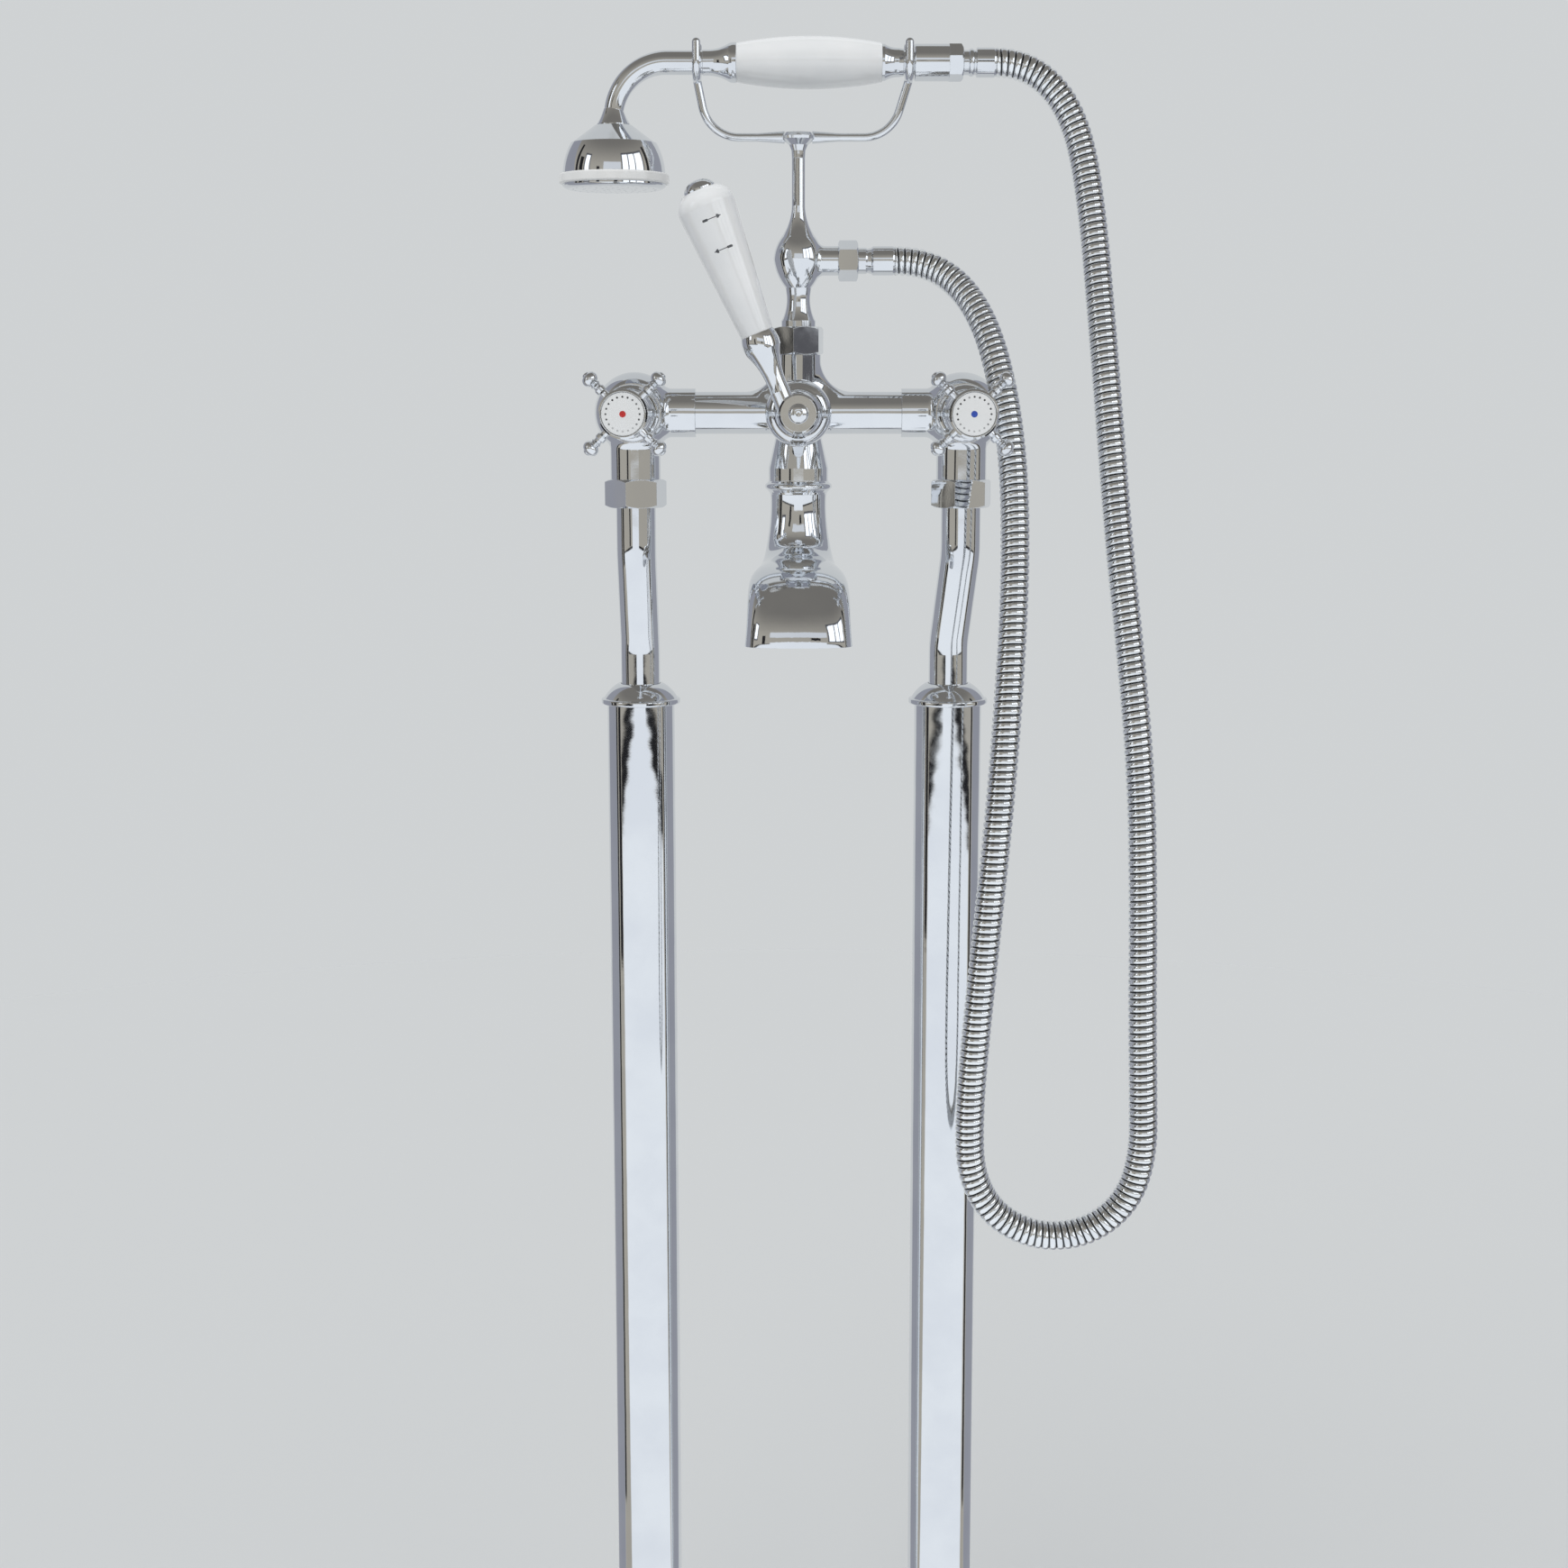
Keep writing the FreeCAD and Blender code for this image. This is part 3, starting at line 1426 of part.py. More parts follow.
def make_outlet_ferrule():
    """The flanged tail in the outlet nut, its grooved collar and the hose's ferrule."""
    face = size("face_gap")
    flange = size("branch_thread_radius") - slip
    flange_low = outlet_flange_start()
    flange_high = flange_low + size("outlet_flange_length")
    neck = size("outlet_neck_radius")
    collar = size("outlet_collar_radius")
    collar_low = size("outlet_nut_length") + size("nut_gap")
    groove = collar_low + size("outlet_groove_place")
    start = ferrule_start()
    ferrule = size("ferrule_radius")
    end = start + size("ferrule_length")
    edge = size("small_edge")
    fine = size("fine_edge")
    bore = size("hose_tail_bore")
    return turned("outlet_ferrule", [
        (bore, flange_low), (flange, flange_low), (flange, flange_high - face),
        (neck, flange_high - face), (neck, collar_low), (collar, collar_low),
        (collar, groove), (collar - fine, groove + edge), (collar, start),
        (ferrule, start + edge), (ferrule, end - edge), (ferrule - fine, end), (bore, end)],
        outlet_at(), TO_RIGHT)


def make_non_return_valve():
    radius = size("branch_bore") - slip
    nose = radius - size("small_edge")
    bore = size("non_return_bore")
    back = -size("non_return_length")
    tip = size("non_return_nose")
    return turned("non_return", [
        (bore, back), (radius, back), (radius, 0), (nose, size("small_edge")), (nose, tip),
        (bore, tip)], outlet_at(), TO_RIGHT)


def make_washers():
    """Four fibre washers: one in each union, one under the riser, one at the hose."""
    face = number(size("face_gap"))
    thickness = number(size("washer_height")) - face
    half_face = face / 2
    solids = []
    for _, side in SIDES:
        low = number(valve_foot()) - thickness - half_face
        at = Vector(number(valve_x(side)), number(mixer_y), low)
        solids.append(washer(at, Vector(0, 0, 1), number(size("union_thread_radius")),
                             number(size("waterway_radius")), thickness))
    seal = number(size("upper_thread_radius") - slip)
    low = number(axis_z + riser_seat()) - thickness - half_face
    at = Vector(number(mixer_x), number(mixer_y), low)
    solids.append(washer(at, Vector(0, 0, 1), seal, number(size("branch_bore")), thickness))
    branch_end = number(size("branch_thread_length"))
    thickness = number(outlet_flange_start()) - branch_end - face
    at = Vector(*[number(part) for part in outlet_at()])
    at.x += branch_end + half_face
    solids.append(washer(at, Vector(1, 0, 0), number(size("branch_thread_radius") - slip),
                         number(size("hose_tail_bore")), thickness))
    return shape_feature("washers", Part.makeCompound(solids))


def washer(at, direction, outer, inner, thickness):
    disc = Part.makeCylinder(outer, thickness, at, direction)
    return disc.cut(Part.makeCylinder(inner, thickness, at, direction))


# Cradle: a bent bar on the riser with a fork at each end
def cradle_bar_level():
    return stem_top() + size("cradle_bar_rise")


def handset_axis_height():
    return cradle_bar_level() + size("fork_rise")


def fork_radius():
    """The handset's necks, a free gap and the rod."""
    return size("handset_neck_radius") + free + size("rod_radius")


def make_cradle():
    rod = number(size("rod_radius"))
    axis = number(handset_axis_height())
    bend = number(size("cradle_bar_bend"))
    bar = number(cradle_bar_level())
    fork = number(fork_radius())
    left = number(front_ferrule_start() - size("fork_left_gap"))
    right = number(groove_start() + size("fork_groove_place"))
    corners = [Vector(left, 0, axis - fork),
               Vector(number(size("cradle_foot_left")), 0, bar),
               Vector(number(size("cradle_foot_right")), 0, bar),
               Vector(right, 0, axis - fork)]
    shape = rod_along(rounded_path(corners, [bend, bend]), rod)
    for end in (left, right):
        shape = shape.fuse(make_fork(end, axis, fork, rod))
    for direction in (Vector(-1, 0, 0), Vector(1, 0, 0)):
        shape = shape.fuse(bar_swell(bar, rod, direction))
    hub = Part.Face(Part.makePolygon(hub_profile()))
    shape = shape.fuse(hub.revolve(Vector(0, 0, 0), Vector(0, 0, 1), 360))
    pin = number(size("cradle_pin_radius") + slip)
    depth = number(size("cradle_pin_length") + free)
    hole = Part.makeCylinder(pin, depth, Vector(0, 0, number(stem_top())))
    item = shape_feature("cradle", shape.cut(hole).removeSplitter())
    place(item, riser_at())
    return item


def bar_swell(bar, rod, direction):
    """The bar's taper, which begins inside the hub."""
    root = Vector(0, 0, bar) + direction * number(size("cradle_hub_radius") - size("edge"))
    return Part.makeCone(rod + number(size("cradle_bar_swell")), rod,
                         number(size("cradle_bar_taper")), root, direction)


def hub_profile():
    """Half section of the flared joint between the riser's stem and the bar."""
    low = number(stem_top())
    stem = number(size("stem_radius"))
    bar = number(cradle_bar_level())
    neck = number(size("cradle_hub_neck"))
    widest = number(size("cradle_hub_radius"))
    crown = number(size("cradle_hub_crown"))
    edge = number(size("small_edge"))
    half_section = [(0, low), (stem, low), (stem + edge / 4, low + edge * 4),
                    (neck, low + edge * 7), (widest - edge / 2, bar - edge),
                    (widest, bar + edge / 2), (widest - edge * 1.5, bar + crown - edge),
                    (0, bar + crown), (0, low)]
    return [Vector(radius, 0, height) for radius, height in half_section]


def make_fork(across, axis, fork, rod):
    """A U of rod that holds the handset, open at the top, with round ends."""
    tip = axis + number(size("prong_rise"))
    front = Vector(across, -fork, tip)
    back = Vector(across, fork, tip)
    front_bend = Vector(across, -fork, axis)
    back_bend = Vector(across, fork, axis)
    edges = [Part.LineSegment(front, front_bend).toShape(),
             Part.Arc(front_bend, Vector(across, 0, axis - fork), back_bend).toShape(),
             Part.LineSegment(back_bend, back).toShape()]
    shape = rod_along(Part.Wire(edges), rod)
    for centre in (front, back):
        shape = shape.fuse(Part.makeSphere(rod, centre))
    return shape


# Handset: rose, bent neck, ferrules, ceramic grip and the hose connection
def handset_at(offset=0):
    return (mixer_x + offset, mixer_y, axis_z + handset_axis_height())


def grip_start():
    return size("grip_centre") - size("grip_length") / 2


def grip_end():
    return size("grip_centre") + size("grip_length") / 2


def groove_start():
    return grip_end() + size("rear_ferrule_length")


def nut_start():
    return groove_start() + size("rear_groove_length")


def nut_end():
    return nut_start() + size("hose_nut_length")


def front_ferrule_start():
    return grip_start() - size("front_ferrule_length")


def make_grip():
    """The barrel-shaped ceramic grip: two arcs that meet at its widest place."""
    end_radius = size("grip_end_radius")
    middle = size("grip_middle_radius")
    bore = size("core_radius") + free
    start = grip_start()
    end = grip_end()
    centre = (start + end) / 2
    bulge = number(middle - end_radius) / number(size("grip_length"))
    return turned("grip", [
        (bore, start), (end_radius, start, bulge), (middle, centre, bulge),
        (end_radius, end), (bore, end)], handset_at(), TO_RIGHT)


def make_front_ferrule():
    radius = size("front_ferrule_radius")
    bore = size("core_radius") + slip
    start = front_ferrule_start()
    end = grip_start()
    lip = size("handset_neck_radius") + size("neck_lip")
    edge = size("fine_edge")
    return turned("front_ferrule", [
        (bore, start), (lip, start), (lip, start + size("front_ferrule_collar"), SLIGHT_HOLLOW),
        (radius - edge, end - size("front_ferrule_rim"), SLIGHT_ROUND), (radius, end),
        (bore, end)], handset_at(), TO_RIGHT)


def make_rear_ferrule():
    radius = size("rear_ferrule_radius")
    bore = size("core_radius") + slip
    start = grip_end()
    end = groove_start()
    lip = size("handset_neck_radius") + size("neck_lip") * 2
    return turned("rear_ferrule", [
        (bore, start), (radius, start), (radius, start + size("rear_ferrule_rim"), SLIGHT_HOLLOW),
        (lip + size("neck_lip"), end - size("rear_ferrule_foot")), (lip, end), (bore, end)],
        handset_at(), TO_RIGHT)


def make_core_tube():
    """The tube through the grip, with a collar between the rear ferrule and the nut."""
    radius = size("core_radius")
    collar = size("handset_neck_radius")
    bore = size("core_bore")
    start = front_ferrule_start() + size("nut_gap")
    end = nut_start() + size("core_thread_length")
    return turned("core", [
        (bore, start), (radius, start), (radius, groove_start()), (collar, groove_start()),
        (collar, nut_start()), (radius, nut_start()), (radius, end), (bore, end)],
        handset_at(), TO_RIGHT)


def make_hose_nut():
    """A round sleeve with six flats at its far end."""
    low = nut_start()
    high = nut_end()
    hex_length = size("hose_nut_hex_length")
    hex_low = high - hex_length
    edge = size("fine_edge")
    radius = size("hose_nut_radius")
    core = size("core_radius") + slip
    spigot = size("swivel_spigot_radius") + running
    floor = low + size("core_thread_length") + free
    sleeve = turned("hose_nut", [
        (core, low), (radius - edge, low), (radius, low + edge), (radius, hex_low),
        (spigot, hex_low), (spigot, floor), (core, floor)], handset_at(), TO_RIGHT)
    flats = size("hose_nut_flats")
    corner = flats * (HEX_CORNER / 2)
    blank = turned("hose_nut_blank", [
        (spigot, hex_low), (corner, hex_low), (corner, high - size("small_edge")),
        (flats / 2, high), (spigot, high)], handset_at(), TO_RIGHT)
    prism = hex_prism("hose_nut", flats, hex_length, handset_at(hex_low), TO_RIGHT, 15.0)
    hexagon = joined("Common", "hose_nut_hex", prism, blank)
    return joined("Fuse", "hose_nut_whole", sleeve, hexagon)


def swivel_end():
    return nut_end() + free + size("swivel_length")


def make_swivel():
    """The hose's end: a spigot in the nut, a beaded collar and the ferrule."""
    low = nut_end() + free
    fine = size("fine_edge")
    radius = size("swivel_radius")
    slim = radius - fine
    spigot = size("swivel_spigot_radius")
    spigot_foot = low - size("swivel_spigot_length")
    bead = low + size("swivel_bead_place")
    bead_end = bead + size("swivel_bead_length")
    ferrule = size("ferrule_radius")
    start = swivel_end()
    end = start + size("swivel_ferrule")
    bore = size("swivel_bore")
    return turned("swivel", [
        (bore, spigot_foot), (spigot, spigot_foot), (spigot, low), (slim, low),
        (slim, bead - fine), (radius, bead, ROUND), (radius, bead_end),
        (slim, bead_end + fine), (slim, start), (ferrule, start + fine),
        (ferrule, end - fine * 2), (ferrule - fine, end), (bore, end)],
        handset_at(), TO_RIGHT)


def make_handset_neck():
    """A tapering bend from the grip's axis down to the rose."""
    thick = number(size("handset_neck_radius"))
    thin = number(size("neck_end_radius"))
    start = number(front_ferrule_start())
    rose = number(size("rose_centre"))
    bend = number(size("neck_bend"))
    leg_length = number(size("rose_top_drop") + size("neck_end_length")) - bend
    tenon_radius = number(size("core_bore") - slip)
    tenon_length = number(size("neck_tenon_length"))
    eighth = math.sin(math.pi / 4)
    middle = Vector(rose + bend, 0, -bend)
    corner = middle + Vector(-eighth, 0, eighth) * bend
    bend_start = Vector(middle.x, 0, 0)
    bend_end = Vector(rose, 0, -bend)
    rightward = Vector(1, 0, 0)
    downward = Vector(0, 0, -1)
    straight = Part.makeCylinder(thick, start - middle.x, bend_start, rightward)
    arc = Part.Wire([Part.Arc(bend_start, corner, bend_end).toShape()])
    rings = [ring_wire(bend_start, -rightward, thick), ring_wire(bend_end, downward, thin)]
    bent = arc.makePipeShell(rings, True, False)
    leg = Part.makeCylinder(thin, leg_length, bend_end, downward)
    tenon = Part.makeCylinder(tenon_radius, tenon_length, Vector(start, 0, 0), rightward)
    pieces = [bent, leg, tenon, neck_skirt(rose, thin)]
    item = shape_feature("handset_neck", straight.fuse(pieces).removeSplitter())
    place(item, handset_at())
    return item


def neck_skirt(rose, thin):
    """The flare with which the neck stands on the rose."""
    foot = number(size("face_gap") - size("rose_top_drop"))
    rim = foot + number(size("fine_edge"))
    top = foot + number(size("neck_skirt_length"))
    wide = number(size("neck_skirt_radius"))
    waist = Vector(rose + thin + (wide - thin) * SKIRT_FLARE, 0, (top + rim) / 2)
    neck_side = Vector(rose + thin, 0, top)
    rim_side = Vector(rose + wide, 0, rim)
    edges = [Part.Arc(neck_side, waist, rim_side).toShape(),
             Part.makePolygon([rim_side, Vector(rose + wide, 0, foot), Vector(rose, 0, foot),
                               Vector(rose, 0, top), neck_side])]
    return Part.Face(Part.Wire(edges)).revolve(Vector(rose, 0, 0), Vector(0, 0, 1), 360)


def rose_at():
    return handset_at(size("rose_centre"))


def ring_top():
    return -size("rose_shell_drop")


def ring_foot():
    return ring_top() - size("rose_ring_height")


def make_rose_bell():
    """The shell: a cone round the neck, a fine step and a domed flank."""
    top = -size("rose_top_drop")
    radius = size("rose_radius")
    wall = size("rose_wall")
    edge = size("small_edge")
    hole = size("neck_end_radius") + slip
    throat = top - size("rose_socket_depth")
    shoulder = top - size("rose_shoulder_drop")
    shoulder_radius = size("rose_shoulder_radius")
    flank = top - size("rose_flank_drop")
    return turned("rose_bell", [
        (hole, throat), (hole, top), (size("rose_crown_radius"), top),
        (shoulder_radius, shoulder), (shoulder_radius + size("fine_edge"), shoulder, ROSE_ROUND),
        (radius, ring_top()), (radius - wall, ring_top()), (radius - wall * 2, flank),
        (shoulder_radius - wall, shoulder - wall), (hole + edge, throat - edge)], rose_at())


def make_rose_ring():
    ring = size("rose_ring_radius")
    inner = size("rose_radius") - size("rose_wall")
    edge = size("small_edge")
    top = ring_top()
    low = ring_foot()
    return turned("rose_ring", [
        (inner, top), (ring - edge, top, -QUARTER_TURN), (ring, top - edge),
        (ring, low + edge, -QUARTER_TURN), (ring - edge, low), (inner, low)], rose_at())


def make_rose_plate():
    """The chrome spray plate under the ring, with rings of fine holes."""
    radius = size("rose_plate_radius")
    depth = size("rose_plate_depth")
    edge = size("small_edge")
    low = ring_foot()
    plate = turned("plate", [
        (0, low), (radius, low), (radius, low - edge, -0.2),
        (radius - edge * 3, low - depth + size("fine_edge")), (0, low - depth)], rose_at())
    doc.recompute()
    drill = number(size("rose_hole_radius"))
    rings = int(number(size("rose_hole_rings")))
    at = [number(part) for part in rose_at()]
    clear = 2.0
    level = at[2] + number(low) - number(depth) - clear
    holes = []
    for ring_index in range(1, rings + 1):
        ring_radius = number(radius) * ring_index / (rings + 1)
        count = 6 * ring_index
        for step in range(count):
            angle = 2 * math.pi * step / count
            foot = Vector(at[0] + ring_radius * math.cos(angle),
                          at[1] + ring_radius * math.sin(angle), level)
            holes.append(Part.makeCylinder(drill, number(depth) + clear * 2, foot))
    drills = shape_feature("rose_drills", Part.makeCompound(holes))
    return joined("Cut", "rose_plate", plate, drills)


def make_handset():
    keep(make_grip(), "handset_grip")
    keep(make_front_ferrule(), "handset_ferrule_front")
    keep(make_rear_ferrule(), "handset_ferrule_rear")
    keep(make_core_tube(), "handset_core_tube")
    keep(make_hose_nut(), "handset_hose_nut")
    keep(make_swivel(), "hose_ferrule_handset")
    keep(make_handset_neck(), "handset_neck")
    keep(make_rose_bell(), "rose_bell")
    keep(make_rose_ring(), "rose_ring")
    keep(make_rose_plate(), "rose_plate")


# Hose: a ribbed metal tube from the outlet to the handset, hanging in a long loop
# An arc's share of its shorter run, and the straight run at each end in hose diameters
HOSE_SHARP = 0.45
HOSE_END_RUN = 1.83
# One rib: share of the pitch, and 0 for the groove or 1 for the crest
RIB_STATIONS = ((0.1, 0), (0.3, 1), (0.7, 1), (0.9, 0))
RIB_EASE = 0.1
HOSE_POINTS = (
    # the points between the two ends' straight runs, chosen by hand
    (106.2, -17.0, 897.0),
    (119.0, -26.0, 872.5),
    (121.5, -42.0, 838.0),
    (120.0, -58.0, 795.0),
    (117.5, -73.0, 745.0),
    (112.5, -90.0, 688.0),
    (105.5, -103.0, 625.0),
    (98.0, -111.5, 560.0),
    (92.0, -115.5, 498.0),
    (89.0, -116.5, 457.0),
    (89.5, -117.0, 428.0),
    (102.5, -117.0, 404.5),
    (125.6, -117.0, 391.0),
    (152.4, -117.0, 391.0),
    (175.6, -116.5, 404.4),
    (189.0, -116.0, 427.6),
    (190.5, -115.0, 458.0),
    (189.0, -112.0, 505.0),
    (186.5, -106.5, 572.0),
    (184.5, -98.0, 638.0),
    (180.5, -86.0, 703.0),
    (176.0, -72.0, 765.0),
    (173.0, -56.0, 825.0),
    (173.0, -38.0, 885.0),
    (175.0, -24.0, 938.0),
    (173.5, -16.0, 974.5),
    (160.5, -13.5, 1000.5),
)


def hose_ends():
    outlet = [number(part) for part in outlet_at()]
    start = Vector(*outlet)
    start.x += number(ferrule_start() + size("ferrule_length"))
    handset = [number(part) for part in handset_at(swivel_end() + size("swivel_ferrule"))]
    return start, Vector(*handset)


def hose_route():
    start, end = hose_ends()
    run = 2 * number(size("hose_radius")) * HOSE_END_RUN
    first = start + Vector(run, 0, 0)
    last = end + Vector(run, 0, 0)
    return [start, first] + [Vector(*point) for point in HOSE_POINTS] + [last, end]


def hose_radii(points):
    """Each arc is as large as its two runs allow."""
    radii = []
    for index in range(1, len(points) - 1):
        before = points[index - 1] - points[index]
        after = points[index + 1] - points[index]
        turn = math.pi - before.getAngle(after)
        radii.append(HOSE_SHARP * min(before.Length, after.Length) / math.tan(turn / 2))
    return radii


def hose_frame(path, distance):
    """The point and direction at a distance along the path."""
    for edge in path.Edges:
        if distance <= edge.Length + 1e-6:
            place_on_edge = edge.getParameterByLength(min(distance, edge.Length))
            return edge.valueAt(place_on_edge), edge.tangentAt(place_on_edge)
        distance -= edge.Length
    last = path.Edges[-1]
    return last.valueAt(last.LastParameter), last.tangentAt(last.LastParameter)


def steady_circle(centre, direction, radius):
    """A circle square to the path, whose seam stays to the same side all along."""
    seam = Vector(0, 1, 0) - direction * direction.y
    axes = FreeCAD.Rotation(seam.normalize(), direction.cross(seam), direction, "ZXY")
    circle = Part.Circle(centre, direction, radius)
    circle.XAxis = axes.multVec(Vector(1, 0, 0))
    return Part.Wire([circle.toShape()])


def hose_skin(path, stations):
    wires = []
    for distance, radius in stations:
        centre, direction = hose_frame(path, distance)
        wires.append(steady_circle(centre, direction, radius))
    return wires, Part.makeLoft(wires, False, True)


def make_hose():
    points = hose_route()
    radii = hose_radii(points)
    print("hose radii", [round(radius, 1) for radius in radii])
    path = rounded_path(points, radii)
    length = path.Length
    outer = number(size("hose_radius"))
    groove = outer - number(size("hose_rib_depth"))
    bore = number(size("hose_bore_radius"))
    end_run = 2 * outer
    count = int((length - 2 * end_run) / number(size("hose_rib_pitch")))
    pitch = (length - 2 * end_run) / count
    stations = [(0.0, groove), (end_run - RIB_EASE, groove)]
    for rib in range(count):
        base = end_run + rib * pitch
        for share, crest in RIB_STATIONS:
            stations.append((base + share * pitch, groove + (outer - groove) * crest))
    stations += [(length - end_run + RIB_EASE, groove), (length, groove)]
    outside, outer_skin = hose_skin(path, stations)
    inner_stations = [(distance, bore) for distance, radius in stations if radius < outer]
    inside, inner_skin = hose_skin(path, inner_stations)
    ends = [Part.makeFace([outside[end], inside[end]], "Part::FaceMakerBullseye")
            for end in (0, -1)]
    skin = Part.Compound(outer_skin.Faces + inner_skin.Faces + ends)
    skin.sewShape()
    solid = Part.Solid(skin.Shells[0])
    if solid.Volume < 0:
        solid.reverse()
    print("hose length", round(length, 1), "ribs", count, "volume", round(solid.Volume))
    print("hose least gap to itself", round(least_gap(path, length) - 2 * outer, 1))
    return shape_feature("hose", solid)


def least_gap(path, length):
    """The least distance between stretches of the path that lie well apart along it."""
    step = 12.0
    places = [hose_frame(path, step * index)[0] for index in range(int(length / step))]
    apart = 8
    return min(places[first].distanceToPoint(places[second])
               for first in range(len(places))
               for second in range(first + apart, len(places)))


def make_everything():
    for name, side in SIDES:
        make_standpipe(name, side)
        make_valve(name, side)
    keep(make_mixer_body(), "mixer_body")
    make_diverter()
    keep(make_spout(), "spout")
    keep(make_spout_ring(), "spout_ring")
    keep(make_riser_nut(), "riser_nut")
    keep(make_riser_column(), "riser_column")
    keep(make_outlet_nut(), "outlet_nut")
    keep(make_outlet_ferrule(), "hose_ferrule_outlet")
    keep(make_non_return_valve(), "non_return_valve")
    keep(make_washers(), "sealing_washers")
    keep(make_cradle(), "cradle")
    make_handset()
    keep(make_hose(), "shower_hose")


def check_and_write():
    doc.recompute()
    for item in doc.Objects:
        if "Invalid" in item.State or "Error" in item.State:
            raise RuntimeError("%s failed to build" % item.Name)
    for item in nodes:
        if item.Shape.isNull() or not item.Shape.isValid() or not item.Shape.Solids:
            raise RuntimeError("%s has no sound solid" % item.Label)
    os.makedirs("parts", exist_ok=True)
    for item in nodes:
        item.Shape.exportStep("parts/%s.step" % item.Label)
    print(len(nodes), "sub-parts written")


make_everything()
check_and_write()
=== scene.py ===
import json
import math

import bmesh
import bpy
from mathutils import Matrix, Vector


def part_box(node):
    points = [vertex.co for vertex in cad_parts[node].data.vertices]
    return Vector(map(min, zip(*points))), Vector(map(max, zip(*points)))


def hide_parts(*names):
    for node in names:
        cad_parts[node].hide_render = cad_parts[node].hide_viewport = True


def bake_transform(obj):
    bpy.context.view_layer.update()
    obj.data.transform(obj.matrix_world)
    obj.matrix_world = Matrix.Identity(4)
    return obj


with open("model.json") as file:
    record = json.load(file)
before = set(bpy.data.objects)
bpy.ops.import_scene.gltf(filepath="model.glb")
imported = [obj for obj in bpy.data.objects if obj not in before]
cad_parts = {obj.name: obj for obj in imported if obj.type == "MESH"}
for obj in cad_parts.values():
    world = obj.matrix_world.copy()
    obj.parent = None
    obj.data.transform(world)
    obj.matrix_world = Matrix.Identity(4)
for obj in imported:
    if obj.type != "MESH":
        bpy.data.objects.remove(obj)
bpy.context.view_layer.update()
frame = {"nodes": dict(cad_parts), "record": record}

MM = 0.001
NODES = frame["nodes"]


# Camera: it faces the tap's front along +Y, a little down, and its lens and shift are reckoned for
# a square image
CAMERA_AT = (0.0018, -1.3189, 0.8395)
CAMERA_PITCH = 9.39
IMAGE_SIDE = 1740
FOCAL_PIXELS = 2600.0
SIDE_SHIFT_PIXELS = -15.0
SENSOR = 36.0
CLIP_START = 0.01
CLIP_END = 100.0


def make_camera():
    data = bpy.data.cameras.new("camera")
    data.sensor_width = SENSOR
    data.lens = SENSOR * FOCAL_PIXELS / IMAGE_SIDE
    data.shift_x = SIDE_SHIFT_PIXELS / IMAGE_SIDE
    data.clip_start = CLIP_START
    data.clip_end = CLIP_END
    camera = bpy.data.objects.new("camera", data)
    camera.location = CAMERA_AT
    camera.rotation_euler = (math.radians(90.0 - CAMERA_PITCH), 0.0, 0.0)
    bpy.context.scene.collection.objects.link(camera)
    bpy.context.scene.camera = camera


make_camera()


# Hose: its route from the outlet to the handset
HOSE_ROUTE = (
    (0.0547, -0.0130, 0.9124),
    (0.0695, -0.0130, 0.9124),
    (0.0895, -0.0205, 0.9005),
    (0.1035, -0.0345, 0.8775),
    (0.1126, -0.0510, 0.8410),
    (0.1169, -0.0665, 0.7990),
    (0.1169, -0.0810, 0.7500),
    (0.1134, -0.0965, 0.6900),
    (0.1082, -0.1075, 0.6270),
    (0.1017, -0.1137, 0.5620),
    (0.0960, -0.1163, 0.5030),
    (0.0932, -0.1170, 0.4620),
    (0.0943, -0.1170, 0.4279),
    (0.1082, -0.1170, 0.4051),
    (0.1323, -0.1170, 0.3937),
    (0.1587, -0.1170, 0.3972),
    (0.1789, -0.1166, 0.4145),
    (0.1865, -0.1155, 0.4400),
    (0.1860, -0.1138, 0.4720),
    (0.1850, -0.1103, 0.5160),
    (0.1850, -0.1045, 0.5720),
    (0.1838, -0.0955, 0.6380),
    (0.1788, -0.0835, 0.7000),
    (0.1726, -0.0700, 0.7620),
    (0.1684, -0.0565, 0.8220),
    (0.1642, -0.0410, 0.8840),
    (0.1602, -0.0285, 0.9355),
    (0.1540, -0.0190, 0.9775),
    (0.1415, -0.0145, 1.0030),
    (0.1215, -0.0130, 1.0166),
    (0.10835, -0.0130, 1.0166),
)
HOSE_RADIUS = 7.8 * MM
RIB_PITCH = 3.7 * MM
RIB_SIDES = 24
HOSE_END_RADIUS = 6.9 * MM
# One rib of wound strip: share of the pitch and depth under the crest in millimetres
RIB_PROFILE = (
    (0.00, 1.15),
    (0.09, 1.20),
    (0.16, 0.42),
    (0.28, 0.08),
    (0.50, 0.00),
    (0.74, 0.08),
    (0.90, 0.42),
)
GROOVE_DEPTH = max(depth for _, depth in RIB_PROFILE)
WELD_DISTANCE = 0.00001
# The route's curve: its steps from one control point to the next, and its order
ROUTE_STEPS = 24
ROUTE_ORDER = 3


def smooth_route(points):
    """Points along the NURBS curve that has the route's points as its control points."""
    data = bpy.data.curves.new("hose_route", "CURVE")
    data.dimensions = "3D"
    data.resolution_u = ROUTE_STEPS
    spline = data.splines.new("NURBS")
    spline.points.add(len(points) - 1)
    for item, place in zip(spline.points, points):
        item.co = (*place, 1.0)
    spline.order_u = ROUTE_ORDER
    spline.use_endpoint_u = True
    curve = bpy.data.objects.new("hose_route", data)
    bpy.context.scene.collection.objects.link(curve)
    bpy.context.view_layer.update()
    mesh = bpy.data.meshes.new_from_object(curve)
    places = [vertex.co.copy() for vertex in mesh.vertices]
    bpy.data.objects.remove(curve)
    bpy.data.meshes.remove(mesh)
    return places


